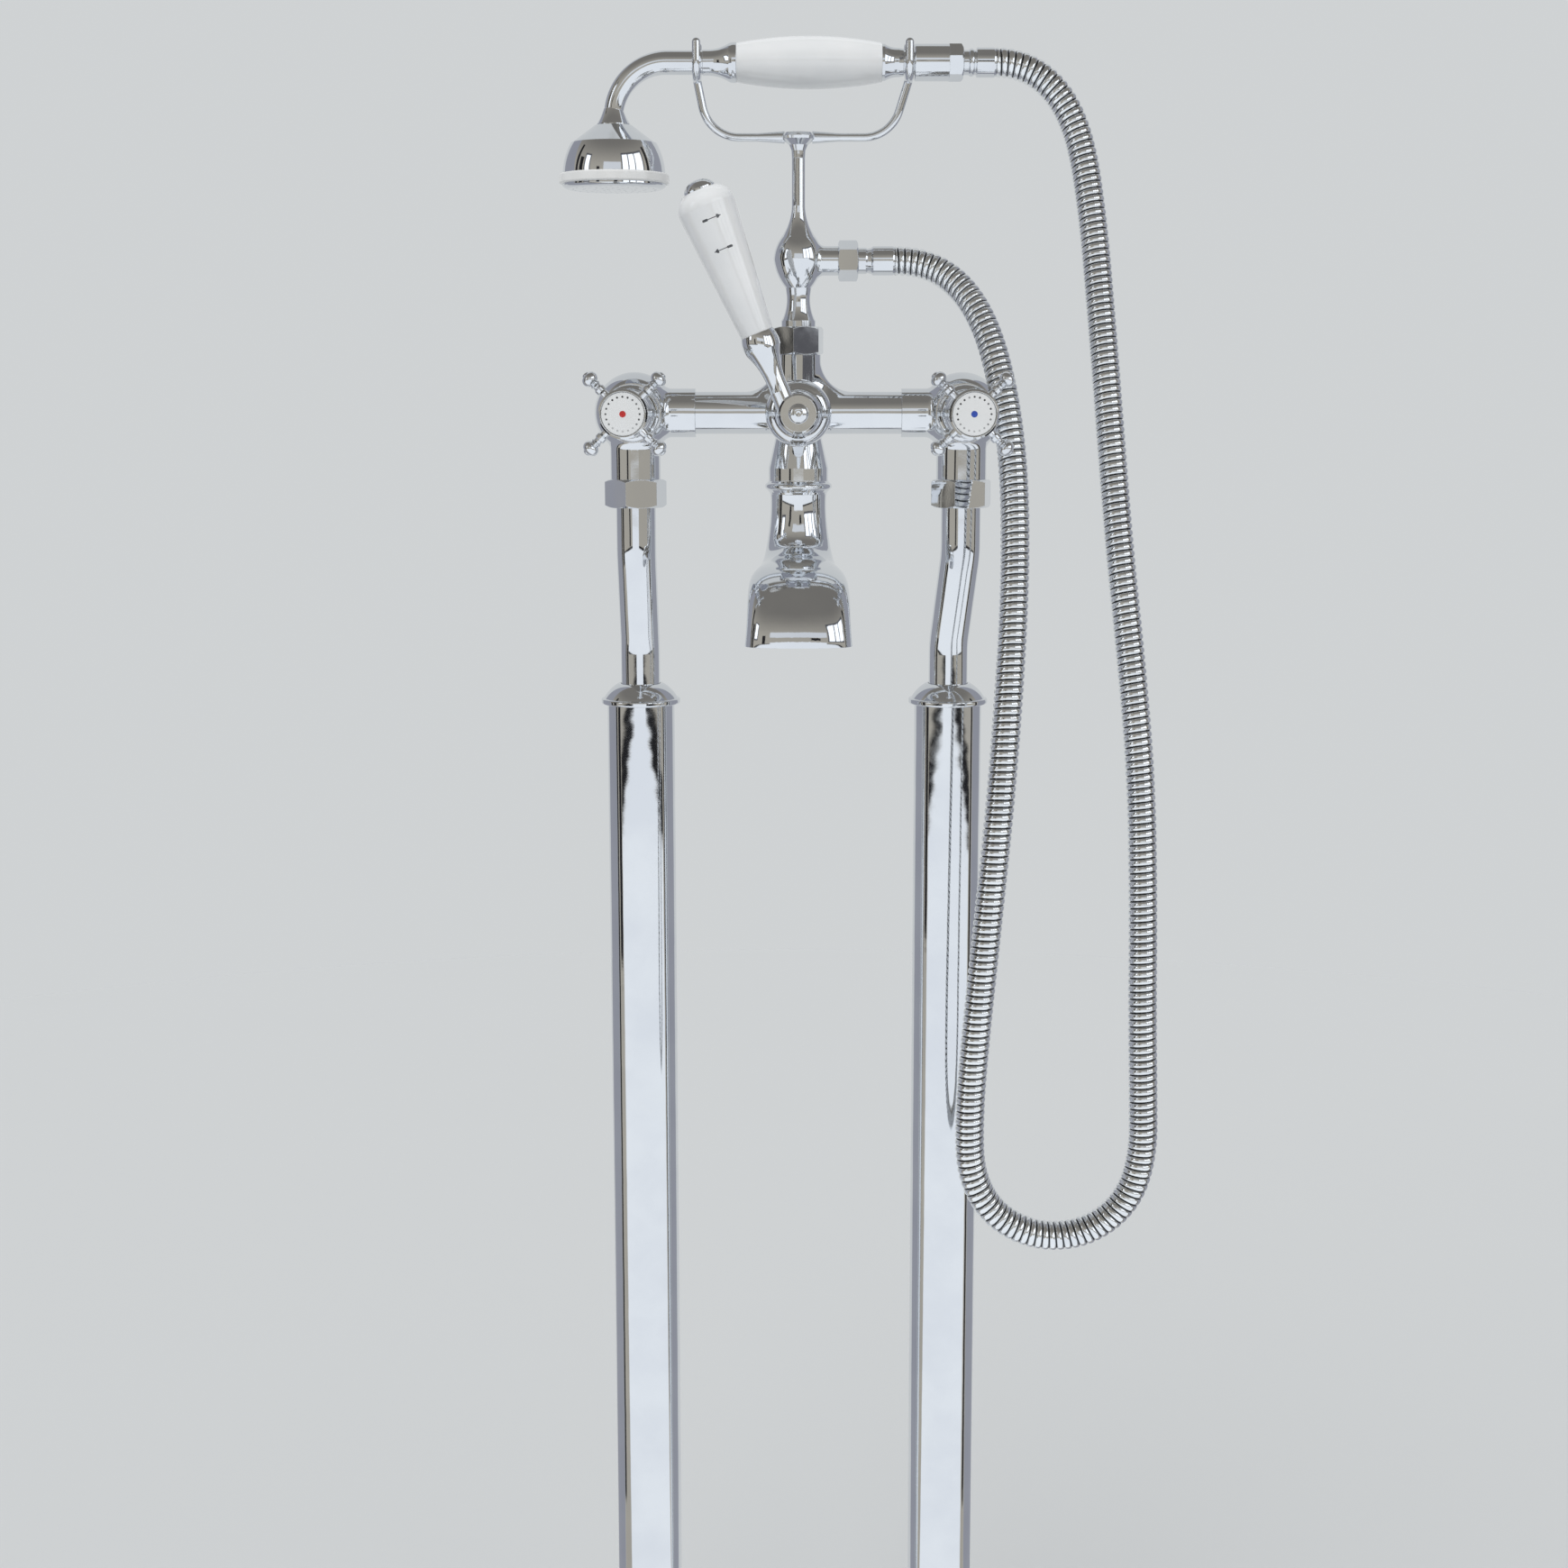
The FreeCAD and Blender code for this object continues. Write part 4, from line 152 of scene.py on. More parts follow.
class Path:
    """A line through points that can be read at any distance along it."""

    def __init__(self, places):
        self.places = places
        self.along = [0.0]
        for first, second in zip(places, places[1:]):
            self.along.append(self.along[-1] + (second - first).length)
        self.length = self.along[-1]
        self.index = 0

    def frame_at(self, distance):
        """The place there, and two directions square to the path."""
        distance = min(max(distance, 0.0), self.length)
        while self.index > 0 and self.along[self.index] > distance:
            self.index -= 1
        while self.index < len(self.places) - 2 and self.along[self.index + 1] < distance:
            self.index += 1
        start = self.along[self.index]
        share = (distance - start) / (self.along[self.index + 1] - start)
        first = self.places[self.index]
        second = self.places[self.index + 1]
        forward = self.direction(self.index).lerp(self.direction(self.index + 1), share)
        forward.normalize()
        side = Vector((0.0, 1.0, 0.0))
        side = (side - forward * side.dot(forward)).normalized()
        return first.lerp(second, share), side, forward.cross(side)

    def direction(self, index):
        before = self.places[max(index - 1, 0)]
        after = self.places[min(index + 1, len(self.places) - 1)]
        return (after - before).normalized()


def ribbed_hose(path):
    """A tube whose ribs wind round it as one strip, with closed ends."""
    mesh = bpy.data.meshes.new("hose")
    turns = int(path.length / RIB_PITCH) + 2
    rows = []
    built = bmesh.new()
    # Each point's share of the groove's full depth, by which the hose material paints shade in the
    # grooves
    groove = built.verts.layers.float.new("groove")
    for turn in range(-1, turns):
        for share, depth in RIB_PROFILE:
            row = []
            for side_index in range(RIB_SIDES):
                portion = side_index / RIB_SIDES
                distance = (turn + share + portion) * RIB_PITCH
                inside = 0.0 < distance < path.length
                radius = HOSE_RADIUS - depth * MM if inside else HOSE_END_RADIUS
                centre, side, up = path.frame_at(distance)
                angle = 2.0 * math.pi * portion
                spot = centre + side * (radius * math.cos(angle)) + up * (radius * math.sin(angle))
                row.append(built.verts.new(spot))
                row[-1][groove] = depth / GROOVE_DEPTH
            rows.append(row)
    step = len(RIB_PROFILE)
    for index in range(len(rows) - 1):
        for side_index in range(RIB_SIDES - 1):
            built.faces.new((rows[index][side_index], rows[index][side_index + 1],
                             rows[index + 1][side_index + 1], rows[index + 1][side_index]))
        if index + step + 1 < len(rows):
            built.faces.new((rows[index][-1], rows[index + step][0],
                             rows[index + step + 1][0], rows[index + 1][-1]))
    bmesh.ops.remove_doubles(built, verts=built.verts[:], dist=WELD_DISTANCE)
    bmesh.ops.holes_fill(built, edges=[edge for edge in built.edges if edge.is_boundary],
                         sides=0)
    bmesh.ops.recalc_face_normals(built, faces=built.faces[:])
    for face in built.faces:
        face.smooth = True
    built.to_mesh(mesh)
    built.free()
    hose = bpy.data.objects.new("ribbed_hose", mesh)
    bpy.context.scene.collection.objects.link(hose)
    return hose


route = smooth_route(HOSE_ROUTE)
hose = ribbed_hose(Path(route))
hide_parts("shower_hose")
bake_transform(hose)


# Node trees: samples for rounded edges, and the values between which most of a noise lies
EDGE_SAMPLES = 4
NOISE_LOW = 0.3
NOISE_HIGH = 0.7


class Graph:
    """Adds nodes to a tree; a value is either a plain value or another node's output."""

    def __init__(self, tree):
        self.tree = tree
        tree.nodes.clear()

    def feed(self, socket, value):
        if isinstance(value, bpy.types.NodeSocket):
            self.tree.links.new(value, socket)
        else:
            socket.default_value = value

    def add(self, kind, inputs=None, **settings):
        node = self.tree.nodes.new(kind)
        for name, value in settings.items():
            setattr(node, name, value)
        for name, value in (inputs or {}).items():
            self.feed(node.inputs[name], value)
        return node

    def math(self, operation, first, second=0.0):
        node = self.add("ShaderNodeMath", {0: first, 1: second}, operation=operation)
        return node.outputs[0]

    def product(self, first, second):
        return self.math("MULTIPLY", first, second)

    def ramp(self, value, low, high, start=0.0, end=1.0):
        """A smooth change from start to end while the value goes from low to high."""
        node = self.add("ShaderNodeMapRange", {0: value, 1: low, 2: high, 3: start, 4: end},
                        interpolation_type="SMOOTHSTEP")
        return node.outputs[0]

    def band(self, value, low, high, soft):
        """One between low and high, and zero outside them."""
        rise = self.ramp(value, low - soft, low + soft)
        fall = self.ramp(value, high - soft, high + soft, 1.0, 0.0)
        return self.product(rise, fall)

    def spot(self, value, radius, edge):
        """One under the radius and zero over it; edge is where it fades, in radii."""
        return self.ramp(value, radius * edge[0], radius * edge[1], 1.0, 0.0)

    def spread(self, noise, start=0.0, end=1.0):
        """A noise drawn out to run from start to end."""
        return self.ramp(noise, NOISE_LOW, NOISE_HIGH, start, end)

    def distance(self, across, upward):
        return self.math("SQRT", self.math("ADD", self.product(across, across),
                                           self.product(upward, upward)))

    def angle(self, first, second):
        """The angle in degrees that has first over second as its tangent."""
        return self.math("DEGREES", self.math("ARCTAN2", first, second))

    def mix(self, factor, first, second):
        node = self.add("ShaderNodeMix", data_type="RGBA")
        self.feed(node.inputs[0], factor)
        self.feed(node.inputs[6], first)
        self.feed(node.inputs[7], second)
        return node.outputs[2]

    def noise(self, where, scale, detail, roughness=0.5):
        node = self.add("ShaderNodeTexNoise", {"Vector": where, "Scale": scale,
                                               "Detail": detail, "Roughness": roughness})
        return node.outputs[0]

    def object_place(self):
        return self.add("ShaderNodeTexCoord").outputs["Object"]

    def stretched(self, where, scale):
        node = self.add("ShaderNodeMapping", {"Vector": where, "Scale": scale})
        return node.outputs[0]

    def bump(self, height, distance, normal=None):
        inputs = {"Height": height, "Distance": distance, "Strength": 1.0}
        if normal is not None:
            inputs["Normal"] = normal
        return self.add("ShaderNodeBump", inputs).outputs[0]

    def rounded_edges(self, radius):
        return self.add("ShaderNodeBevel", {"Radius": radius}, samples=EDGE_SAMPLES).outputs[0]


def tone(red, green, blue):
    return (red, green, blue, 1.0)


def grey(level):
    return tone(level, level, level)


def new_material(name):
    material = bpy.data.materials.new(name)
    material.use_nodes = True
    return material, Graph(material.node_tree)


def finish_surface(graph, inputs):
    surface = graph.add("ShaderNodeBsdfPrincipled", inputs)
    output = graph.add("ShaderNodeOutputMaterial")
    graph.tree.links.new(surface.outputs[0], output.inputs["Surface"])


# How far each material rounds its edges
POLISHED_EDGE = 0.35 * MM
MACHINED_EDGE = 0.2 * MM
GLAZED_EDGE = 0.4 * MM
MOULDED_EDGE = 0.3 * MM
# Metals: how high their fine grain stands, the range of smear and haze over which a polish
# dulls, and its scratches' share of the wave's height
FINE_GRAIN = 0.03 * MM
HAZE_RANGE = (0.12, 0.42)
SCRATCH_SHARE = 0.02
# Turning marks are much closer along the axis than round it
TURNING_MARKS = (60.0, 60.0, 3000.0)
# The painted shade in the hose's grooves: the share of the groove's depth over which it comes, and
# how much it dulls the gloss
GROOVE_SHADE_RANGE = (0.22, 0.85)
GROOVE_SHADE_DULL = 0.35
PLATE_GLOSS = (0.06, 0.13)


def polished_metal(name, light, dark, smooth, dull, wave):
    """Plated or polished metal: faint smears, fine haze and the wave of a hand polish."""
    material, graph = new_material(name)
    where = graph.object_place()
    smear = graph.noise(where, 26.0, 4.0)
    haze = graph.noise(where, 210.0, 3.0, 0.65)
    colour = graph.mix(graph.spread(smear), dark, light)
    gloss = graph.ramp(graph.product(smear, haze), *HAZE_RANGE, smooth, dull)
    base = graph.rounded_edges(POLISHED_EDGE)
    slow = graph.bump(graph.noise(where, 55.0, 1.0), wave, base)
    fine = graph.bump(graph.noise(where, 900.0, 2.0), wave * SCRATCH_SHARE, slow)
    finish_surface(graph, {"Base Color": colour, "Metallic": 1.0, "Roughness": gloss,
                           "Normal": fine})
    return material


def machined_metal(name, light, dark, dull):
    """Bare metal with turning marks and a little tarnish."""
    material, graph = new_material(name)
    where = graph.object_place()
    tarnish = graph.noise(where, 70.0, 5.0, 0.6)
    marks = graph.noise(graph.stretched(where, TURNING_MARKS), 1.0, 2.0)
    colour = graph.mix(graph.ramp(tarnish, 0.35, NOISE_HIGH), light, dark)
    gloss = graph.spread(tarnish, dull * 0.7, dull * 1.3)
    normal = graph.bump(marks, FINE_GRAIN, graph.rounded_edges(MACHINED_EDGE))
    finish_surface(graph, {"Base Color": colour, "Metallic": 1.0, "Roughness": gloss,
                           "Normal": normal})
    return material


def wound_metal(name, light, dark, groove_shade_colour):
    """The hose's plated strip, with painted shade, dark and dull, in the grooves where the turns
    lock.
    """
    material, graph = new_material(name)
    where = graph.object_place()
    smear = graph.noise(where, 60.0, 3.0)
    depth = graph.add("ShaderNodeAttribute", attribute_name="groove").outputs["Fac"]
    groove_shade = graph.ramp(depth, *GROOVE_SHADE_RANGE)
    plate = graph.mix(graph.spread(smear), dark, light)
    # Painted shade: down in the grooves the plate's colour gives way to the dark groove colour
    colour = graph.mix(groove_shade, plate, groove_shade_colour)
    gloss = graph.math("ADD", graph.spread(smear, *PLATE_GLOSS), graph.product(groove_shade, GROOVE_SHADE_DULL))
    normal = graph.bump(graph.noise(where, 420.0, 2.0), FINE_GRAIN)
    finish_surface(graph, {"Base Color": colour, "Metallic": 1.0, "Roughness": gloss,
                           "Normal": normal})
    return material


GLAZE_DARK = tone(0.80, 0.82, 0.835)
GLAZE_LIGHT = tone(0.845, 0.86, 0.87)
GLAZE_WAVE = 0.05 * MM


def ceramic(name, mark=None):
    """Glazed ceramic; mark paints on it under the glaze."""
    material, graph = new_material(name)
    where = graph.object_place()
    cloud = graph.noise(where, 34.0, 3.0)
    colour = graph.mix(graph.spread(cloud), GLAZE_DARK, GLAZE_LIGHT)
    if mark is not None:
        colour = mark(graph, where, colour)
    normal = graph.bump(graph.noise(where, 75.0, 1.0), GLAZE_WAVE,
                        graph.rounded_edges(GLAZED_EDGE))
    finish_surface(graph, {"Base Color": colour, "Roughness": 0.16, "Coat Weight": 0.8,
                           "Coat Roughness": 0.03, "Normal": normal})
    return material


DOT_COUNT = 20
DOT_RING = 8.75 * MM
DOT_RADIUS = 0.56 * MM
MIDDLE_DOT = 1.7 * MM
# Where the dots fade, in radii, and how much ink is left where the ring is worn and at its foot
DOT_EDGE = (0.75, 1.15)
MIDDLE_EDGE = (0.94, 1.04)
WORN_INK = 0.6
FOOT_INK = 0.5
INK = tone(0.035, 0.037, 0.042)


def index_marks(disc, middle_colour):
    """A ring of small dots and one coloured dot in the middle of an index disc."""
    low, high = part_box(disc)
    centre_x = (low.x + high.x) / 2
    centre_z = (low.z + high.z) / 2

    def paint(graph, where, colour):
        parts = graph.add("ShaderNodeSeparateXYZ", {0: where})
        across = graph.math("SUBTRACT", parts.outputs[0], centre_x)
        upward = graph.math("SUBTRACT", parts.outputs[2], centre_z)
        distance = graph.distance(across, upward)
        angle = graph.math("ARCTAN2", upward, across)
        slice_angle = 2.0 * math.pi / DOT_COUNT
        turned = graph.math("WRAP", angle, slice_angle / 2)
        turned.node.inputs[2].default_value = -slice_angle / 2
        along = graph.product(turned, DOT_RING)
        outward = graph.math("SUBTRACT", distance, DOT_RING)
        dots = graph.spot(graph.distance(along, outward), DOT_RADIUS, DOT_EDGE)
        worn = graph.ramp(graph.noise(where, 240.0, 1.0), NOISE_LOW, 0.55, WORN_INK, 1.0)
        fade = graph.ramp(upward, -DOT_RING, -DOT_RING * 0.2, FOOT_INK, 1.0)
        middle = graph.spot(distance, MIDDLE_DOT, MIDDLE_EDGE)
        with_dots = graph.mix(graph.product(dots, graph.product(worn, fade)), colour, INK)
        return graph.mix(middle, with_dots, middle_colour)

    return paint


# The lever's arrows, in a frame that leans with the lever
LEVER_LEAN = 22.0
CAP_DROP = 2.8 * MM
ARROW_LENGTH = 10.2 * MM
ARROW_DROPS = (15.0 * MM, 31.5 * MM)
ARROW_SHAFT = 0.22 * MM
ARROW_HEAD = 2.4 * MM
ARROW_BARB = 1.05 * MM
ARROW_FEATHER = 3.0 * MM
ARROW_SOFT = 0.1 * MM
SHAFT_EDGE = (0.6, 1.4)
# The share of the head that widens, then the feather's start, softness and share of the barb
HEAD_SHARE = 0.8
FEATHER_START = 0.2 * MM
FEATHER_SOFT = 0.15 * MM
FEATHER_SHARE = 0.62


def arrow_marks(graph, where, colour):
    """Two thin arrows across the front of the grip, which point opposite ways."""
    cap_low, cap_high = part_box("lever_cap")
    lean = math.radians(LEVER_LEAN)
    top = Vector(((cap_low.x + cap_high.x) / 2, 0.0, (cap_low.z + cap_high.z) / 2))
    across_way = Vector((math.cos(lean), 0.0, math.sin(lean)))
    down_way = Vector((math.sin(lean), 0.0, -math.cos(lean)))
    top = top + down_way * CAP_DROP
    grip_low, grip_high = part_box("lever_grip")
    front_limit = grip_low.y + (grip_high.y - grip_low.y) / 2
    parts = graph.add("ShaderNodeSeparateXYZ", {0: where})
    step_x = graph.math("SUBTRACT", parts.outputs[0], top.x)
    step_z = graph.math("SUBTRACT", parts.outputs[2], top.z)
    across = graph.math("ADD", graph.product(step_x, across_way.x),
                        graph.product(step_z, across_way.z))
    down = graph.math("ADD", graph.product(step_x, down_way.x),
                      graph.product(step_z, down_way.z))
    front = graph.math("LESS_THAN", parts.outputs[1], front_limit)
    masks = []
    for drop, way in zip(ARROW_DROPS, (1.0, -1.0)):
        offset = graph.math("ABSOLUTE", graph.math("SUBTRACT", down, drop))
        from_tail = graph.math("ADD", graph.product(across, way), ARROW_LENGTH / 2)
        shaft = graph.product(graph.band(from_tail, 0.0, ARROW_LENGTH, ARROW_SOFT),
                              graph.spot(offset, ARROW_SHAFT, SHAFT_EDGE))
        to_tip = graph.math("SUBTRACT", ARROW_LENGTH, from_tail)
        barb = graph.product(graph.ramp(to_tip, 0.0, ARROW_HEAD * HEAD_SHARE),
                             graph.band(to_tip, 0.0, ARROW_HEAD, ARROW_SOFT))
        head = graph.math("LESS_THAN", offset, graph.product(barb, ARROW_BARB))
        feather_band = graph.band(from_tail, FEATHER_START, ARROW_FEATHER, FEATHER_SOFT)
        feather = graph.math("LESS_THAN", offset,
                             graph.product(feather_band, ARROW_BARB * FEATHER_SHARE))
        masks.append(graph.math("MAXIMUM", graph.math("MAXIMUM", shaft, head), feather))
    drawn = graph.product(graph.math("MAXIMUM", masks[0], masks[1]), front)
    return graph.mix(drawn, colour, INK)


def plastic(name, light, dark, shine, grain):
    """Plastic or washer fibre, faintly clouded, with a fine grain."""
    material, graph = new_material(name)
    where = graph.object_place()
    cloud = graph.noise(where, 48.0, 3.0)
    colour = graph.mix(graph.spread(cloud), dark, light)
    gloss = graph.spread(graph.noise(where, 320.0, 2.0), shine * 0.85, shine * 1.2)
    normal = graph.bump(graph.noise(where, 600.0, 2.0), grain,
                        graph.rounded_edges(MOULDED_EDGE))
    finish_surface(graph, {"Base Color": colour, "Roughness": gloss, "Normal": normal})
    return material


MATERIALS = {
    "polished_chrome": polished_metal("polished_chrome", tone(0.80, 0.82, 0.84),
                                      tone(0.74, 0.76, 0.79), 0.025, 0.075, 0.10 * MM),
    "rod_chrome": polished_metal("rod_chrome", tone(0.80, 0.82, 0.84),
                                 tone(0.75, 0.77, 0.80), 0.03, 0.09, 0.08 * MM),
    # The hose's third tone is the painted shade in its grooves
    "hose_chrome": wound_metal("hose_chrome", tone(0.90, 0.92, 0.93),
                               tone(0.80, 0.82, 0.84), tone(0.06, 0.063, 0.068)),
    "copper_pipe": machined_metal("copper_pipe", tone(0.72, 0.38, 0.26),
                                  tone(0.38, 0.19, 0.13), 0.32),
    "bare_brass": machined_metal("bare_brass", tone(0.74, 0.56, 0.26),
                                 tone(0.50, 0.35, 0.15), 0.24),
    "steel_screw": machined_metal("steel_screw", tone(0.60, 0.60, 0.61),
                                  tone(0.42, 0.42, 0.43), 0.3),
    "glazed_ceramic": ceramic("glazed_ceramic"),
    "hot_index": ceramic("hot_index", index_marks("index_disc_hot", tone(0.52, 0.02, 0.02))),
    "cold_index": ceramic("cold_index", index_marks("index_disc_cold", tone(0.02, 0.07, 0.42))),
    "rose_rim": plastic("rose_rim", tone(0.84, 0.85, 0.85), tone(0.79, 0.80, 0.80),
                        0.16, 0.004 * MM),
    "fibre_washer": plastic("fibre_washer", tone(0.04, 0.04, 0.045), tone(0.02, 0.02, 0.02),
                            0.75, 0.03 * MM),
    "white_plastic": plastic("white_plastic", tone(0.78, 0.78, 0.76), tone(0.70, 0.70, 0.68),
                             0.42, 0.01 * MM),
}
LEVER_CERAMIC = ceramic("lever_ceramic", arrow_marks)


def give_material(piece, material):
    if not piece.data.materials:
        piece.data.materials.append(material)
    for slot in piece.material_slots:
        slot.material = material


for part in frame["record"]["subparts"]:
    give_material(NODES[part["node"]], MATERIALS[part["material_slot"]])
give_material(NODES["lever_grip"], LEVER_CERAMIC)
# The core tube is plated, because it shows in the groove that the fork holds
give_material(NODES["handset_core_tube"], MATERIALS["polished_chrome"])
give_material(hose, MATERIALS["hose_chrome"])


# Studio: a plain pale floor, two soft suns and a pale world
FLOOR_COLOUR = (0.635, 0.655, 0.665)
WORLD_LEVEL = 0.56
SUNS = (
    # name, azimuth from the camera's side towards +X, elevation, strength, spread in degrees
    ("key", -38.0, 52.0, 1.25, 50.0),
    ("fill", 62.0, 40.0, 0.55, 70.0),
)
FLOOR_RADIUS = 2.2
FLOOR_SEGMENTS = 96
FLECK = 0.005


def sun_level():
    """How brightly the suns light level ground."""
    return sum(strength * math.sin(math.radians(elevation)) / math.pi
               for _, _, elevation, strength, _ in SUNS)


def make_suns():
    for name, azimuth, elevation, strength, spread in SUNS:
        data = bpy.data.lights.new(name, "SUN")
        data.energy = strength
        data.angle = math.radians(spread)
        lamp = bpy.data.objects.new(name, data)
        turn = math.radians(azimuth)
        rise = math.radians(elevation)
        toward = Vector((math.sin(turn) * math.cos(rise), -math.cos(turn) * math.cos(rise),
                         math.sin(rise)))
        lamp.rotation_mode = "QUATERNION"
        lamp.rotation_quaternion = toward.to_track_quat("Z", "Y")
        lamp.visible_glossy = False
        bpy.context.scene.collection.objects.link(lamp)


# What polished metal mirrors: the pale background behind, and ahead a dim studio with light
# panels in dark frames, black flags, and a white board low in front. Angles are in degrees.
AHEAD = tone(0.44, 0.415, 0.365)
OVERHEAD = tone(0.20, 0.19, 0.175)
OVERHEAD_RISE = (8.0, 60.0)
SOFT_PANEL = tone(0.72, 0.75, 0.79)
PANEL_FRAME = tone(0.11, 0.11, 0.12)
BLACK_FLAG = tone(0.02, 0.02, 0.022)
LIGHT_PANEL = tone(1.45, 1.50, 1.56)
WHITE_BOARD = tone(0.90, 0.94, 0.99)
SIDE_SCREEN = tone(0.33, 0.34, 0.385)
# The board: its top edge, the edge's fall with each degree aside, its reach to the sides, and
# the dark gap over the edge
BOARD_TOP = -6.6
BOARD_FALL = -0.055
BOARD_REACH = (-70.0, 80.0)
BOARD_GAP = 1.8
# How far ahead a direction points where the background begins, and how that shifts overhead
BACK_START = -0.05
BACK_LEAN = 0.35
# How softly patches, the board's sides, its top edge and the background begin
PATCH_SOFT = 0.8
REACH_SOFT = 1.5
EDGE_SOFT = 0.5
BACK_SOFT = 0.04
# The mixer's height, from which the directions to places on the floor are reckoned
EYE_HEIGHT = 0.85
# Patches are low and high azimuth, then low and high elevation; the screens stand on both sides
RAISED_BOARDS = ((-19.0, 19.0, -30.0, -2.2),)
SIDE_SCREENS = ((93.0, 141.0, -90.0, 60.0),)
SOFT_PANELS = ((-20.0, 20.0, 10.0, 22.0),)
PANEL_FRAMES = (
    (21.5, 77.0, -0.5, 37.0),
    (-69.0, -52.5, 3.5, 32.5),
)
LIGHT_PANELS = (
    (24.0, 37.0, 2.0, 34.0),
    (39.5, 53.0, 2.0, 34.0),
    (55.5, 74.0, 2.0, 34.0),
    (-66.0, -55.0, 6.0, 30.0),
)
BLACK_FLAGS = (
    (3.5, 11.0, 3.0, 9.0),
    (-36.0, -29.0, -6.0, 14.0),
    (-82.0, -72.0, -20.0, 26.0),
    (84.0, 91.0, -60.0, 40.0),
    (-93.0, -86.0, -60.0, 40.0),
)


def background_colour():
    """The pale background, the same for the camera and for polished metal."""
    level = WORLD_LEVEL + sun_level()
    return tone(*[part * level for part in FLOOR_COLOUR])


def patches(graph, places, azimuth, elevation, colour, paint):
    """The colour, with the paint over it where a patch lies in that direction."""
    for left, right, low, high in places:
        here = graph.product(graph.band(azimuth, left, right, PATCH_SOFT),
                             graph.band(elevation, low, high, PATCH_SOFT))
        colour = graph.mix(here, colour, paint)
    return colour


def surroundings(graph, azimuth, elevation, ahead):
    """What lies in that direction; ahead is above zero in front of the object."""
    aside = graph.math("ABSOLUTE", azimuth)
    front = graph.mix(graph.ramp(elevation, *OVERHEAD_RISE), AHEAD, OVERHEAD)
    for places, paint in ((SOFT_PANELS, SOFT_PANEL), (PANEL_FRAMES, PANEL_FRAME),
                          (BLACK_FLAGS, BLACK_FLAG), (LIGHT_PANELS, LIGHT_PANEL)):
        front = patches(graph, places, azimuth, elevation, front, paint)
    edge = graph.math("ADD", graph.product(aside, BOARD_FALL), BOARD_TOP)
    over_edge = graph.math("SUBTRACT", elevation, edge)
    within = graph.band(azimuth, *BOARD_REACH, REACH_SOFT)
    gap = graph.product(within, graph.band(over_edge, 0.0, BOARD_GAP, EDGE_SOFT))
    front = graph.mix(gap, front, BLACK_FLAG)
    board = graph.product(within, graph.ramp(over_edge, -EDGE_SOFT, EDGE_SOFT, 1.0, 0.0))
    front = graph.mix(board, front, WHITE_BOARD)
    front = patches(graph, RAISED_BOARDS, azimuth, elevation, front, WHITE_BOARD)
    behind = graph.ramp(ahead, BACK_START - BACK_SOFT, BACK_START + BACK_SOFT, 1.0, 0.0)
    rear = patches(graph, SIDE_SCREENS, aside, elevation, background_colour(), SIDE_SCREEN)
    return graph.mix(behind, front, rear)


def mirrored_world(graph):
    """The surroundings by direction, for rays that leave a polished surface."""
    way = graph.add("ShaderNodeTexCoord").outputs["Generated"]
    parts = graph.add("ShaderNodeSeparateXYZ", {0: way})
    forward = graph.product(parts.outputs[1], -1.0)
    azimuth = graph.angle(parts.outputs[0], forward)
    elevation = graph.math("DEGREES", graph.math("ARCSINE", parts.outputs[2]))
    upward = graph.math("MAXIMUM", parts.outputs[2], 0.0)
    ahead = graph.math("ADD", forward, graph.product(upward, BACK_LEAN))
    return surroundings(graph, azimuth, elevation, ahead)


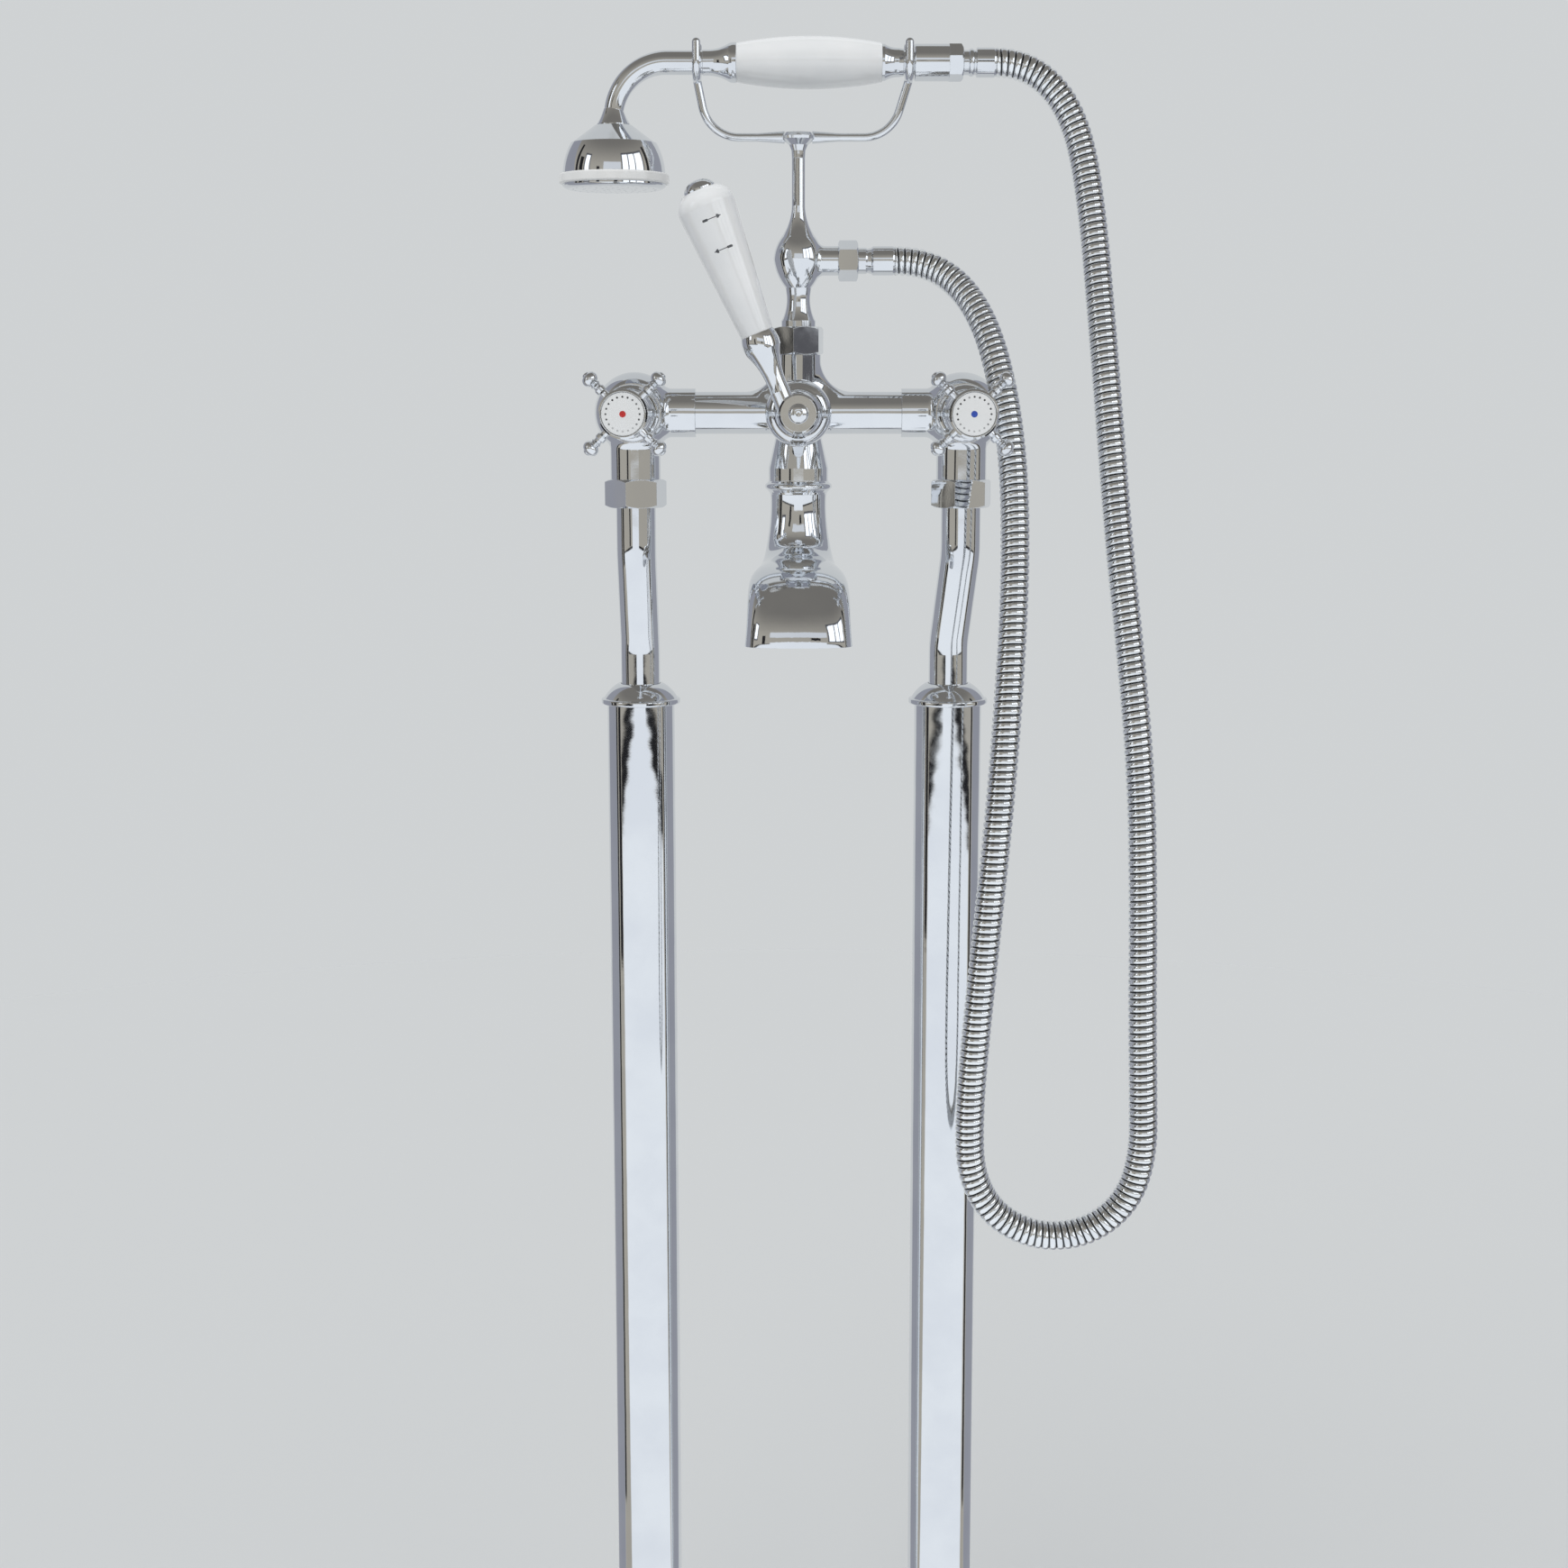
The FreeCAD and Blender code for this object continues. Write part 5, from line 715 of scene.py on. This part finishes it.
def mirrored_floor(graph, where):
    """The surroundings by place on the floor, as seen from the mixer's height."""
    parts = graph.add("ShaderNodeSeparateXYZ", {0: where})
    forward = graph.product(parts.outputs[1], -1.0)
    distance = graph.add("ShaderNodeVectorMath", {0: where}, operation="LENGTH").outputs["Value"]
    azimuth = graph.angle(parts.outputs[0], forward)
    drop = graph.angle(EYE_HEIGHT, distance)
    ahead = graph.math("DIVIDE", forward, graph.math("MAXIMUM", distance, MM))
    return surroundings(graph, azimuth, graph.product(drop, -1.0), ahead)


def make_world():
    world = bpy.data.worlds.new("studio")
    bpy.context.scene.world = world
    world.use_nodes = True
    graph = Graph(world.node_tree)
    rays = graph.add("ShaderNodeLightPath")
    seen = graph.math("MAXIMUM", rays.outputs["Is Camera Ray"],
                      rays.outputs["Is Transmission Ray"])
    plain = graph.mix(seen, grey(WORLD_LEVEL), background_colour())
    colour = graph.mix(rays.outputs["Is Glossy Ray"], plain, mirrored_world(graph))
    background = graph.add("ShaderNodeBackground", {"Color": colour, "Strength": 1.0})
    output = graph.add("ShaderNodeOutputWorld")
    graph.tree.links.new(background.outputs[0], output.inputs["Surface"])


def floor_material():
    """Pale and plain, except that polished metal mirrors the surroundings in its place."""
    material, graph = new_material("studio_floor")
    where = graph.object_place()
    fleck = graph.noise(where, 3.0, 3.0)
    low = tone(*[part * (1.0 - FLECK) for part in FLOOR_COLOUR])
    high = tone(*[part * (1.0 + FLECK) for part in FLOOR_COLOUR])
    diffuse = graph.add("ShaderNodeBsdfDiffuse", {"Color": graph.mix(fleck, low, high)})
    glow = graph.add("ShaderNodeEmission", {"Color": mirrored_floor(graph, where),
                                            "Strength": 1.0})
    rays = graph.add("ShaderNodeLightPath")
    either = graph.add("ShaderNodeMixShader", {0: rays.outputs["Is Glossy Ray"]})
    graph.tree.links.new(diffuse.outputs[0], either.inputs[1])
    graph.tree.links.new(glow.outputs[0], either.inputs[2])
    output = graph.add("ShaderNodeOutputMaterial")
    graph.tree.links.new(either.outputs[0], output.inputs["Surface"])
    return material


def make_floor():
    mesh = bpy.data.meshes.new("floor")
    built = bmesh.new()
    bmesh.ops.create_circle(built, cap_ends=True, segments=FLOOR_SEGMENTS,
                            radius=FLOOR_RADIUS)
    built.to_mesh(mesh)
    built.free()
    floor = bpy.data.objects.new("floor", mesh)
    bpy.context.scene.collection.objects.link(floor)
    give_material(floor, floor_material())


make_suns()
make_world()
make_floor()
bpy.context.scene.view_settings.view_transform = "Standard"
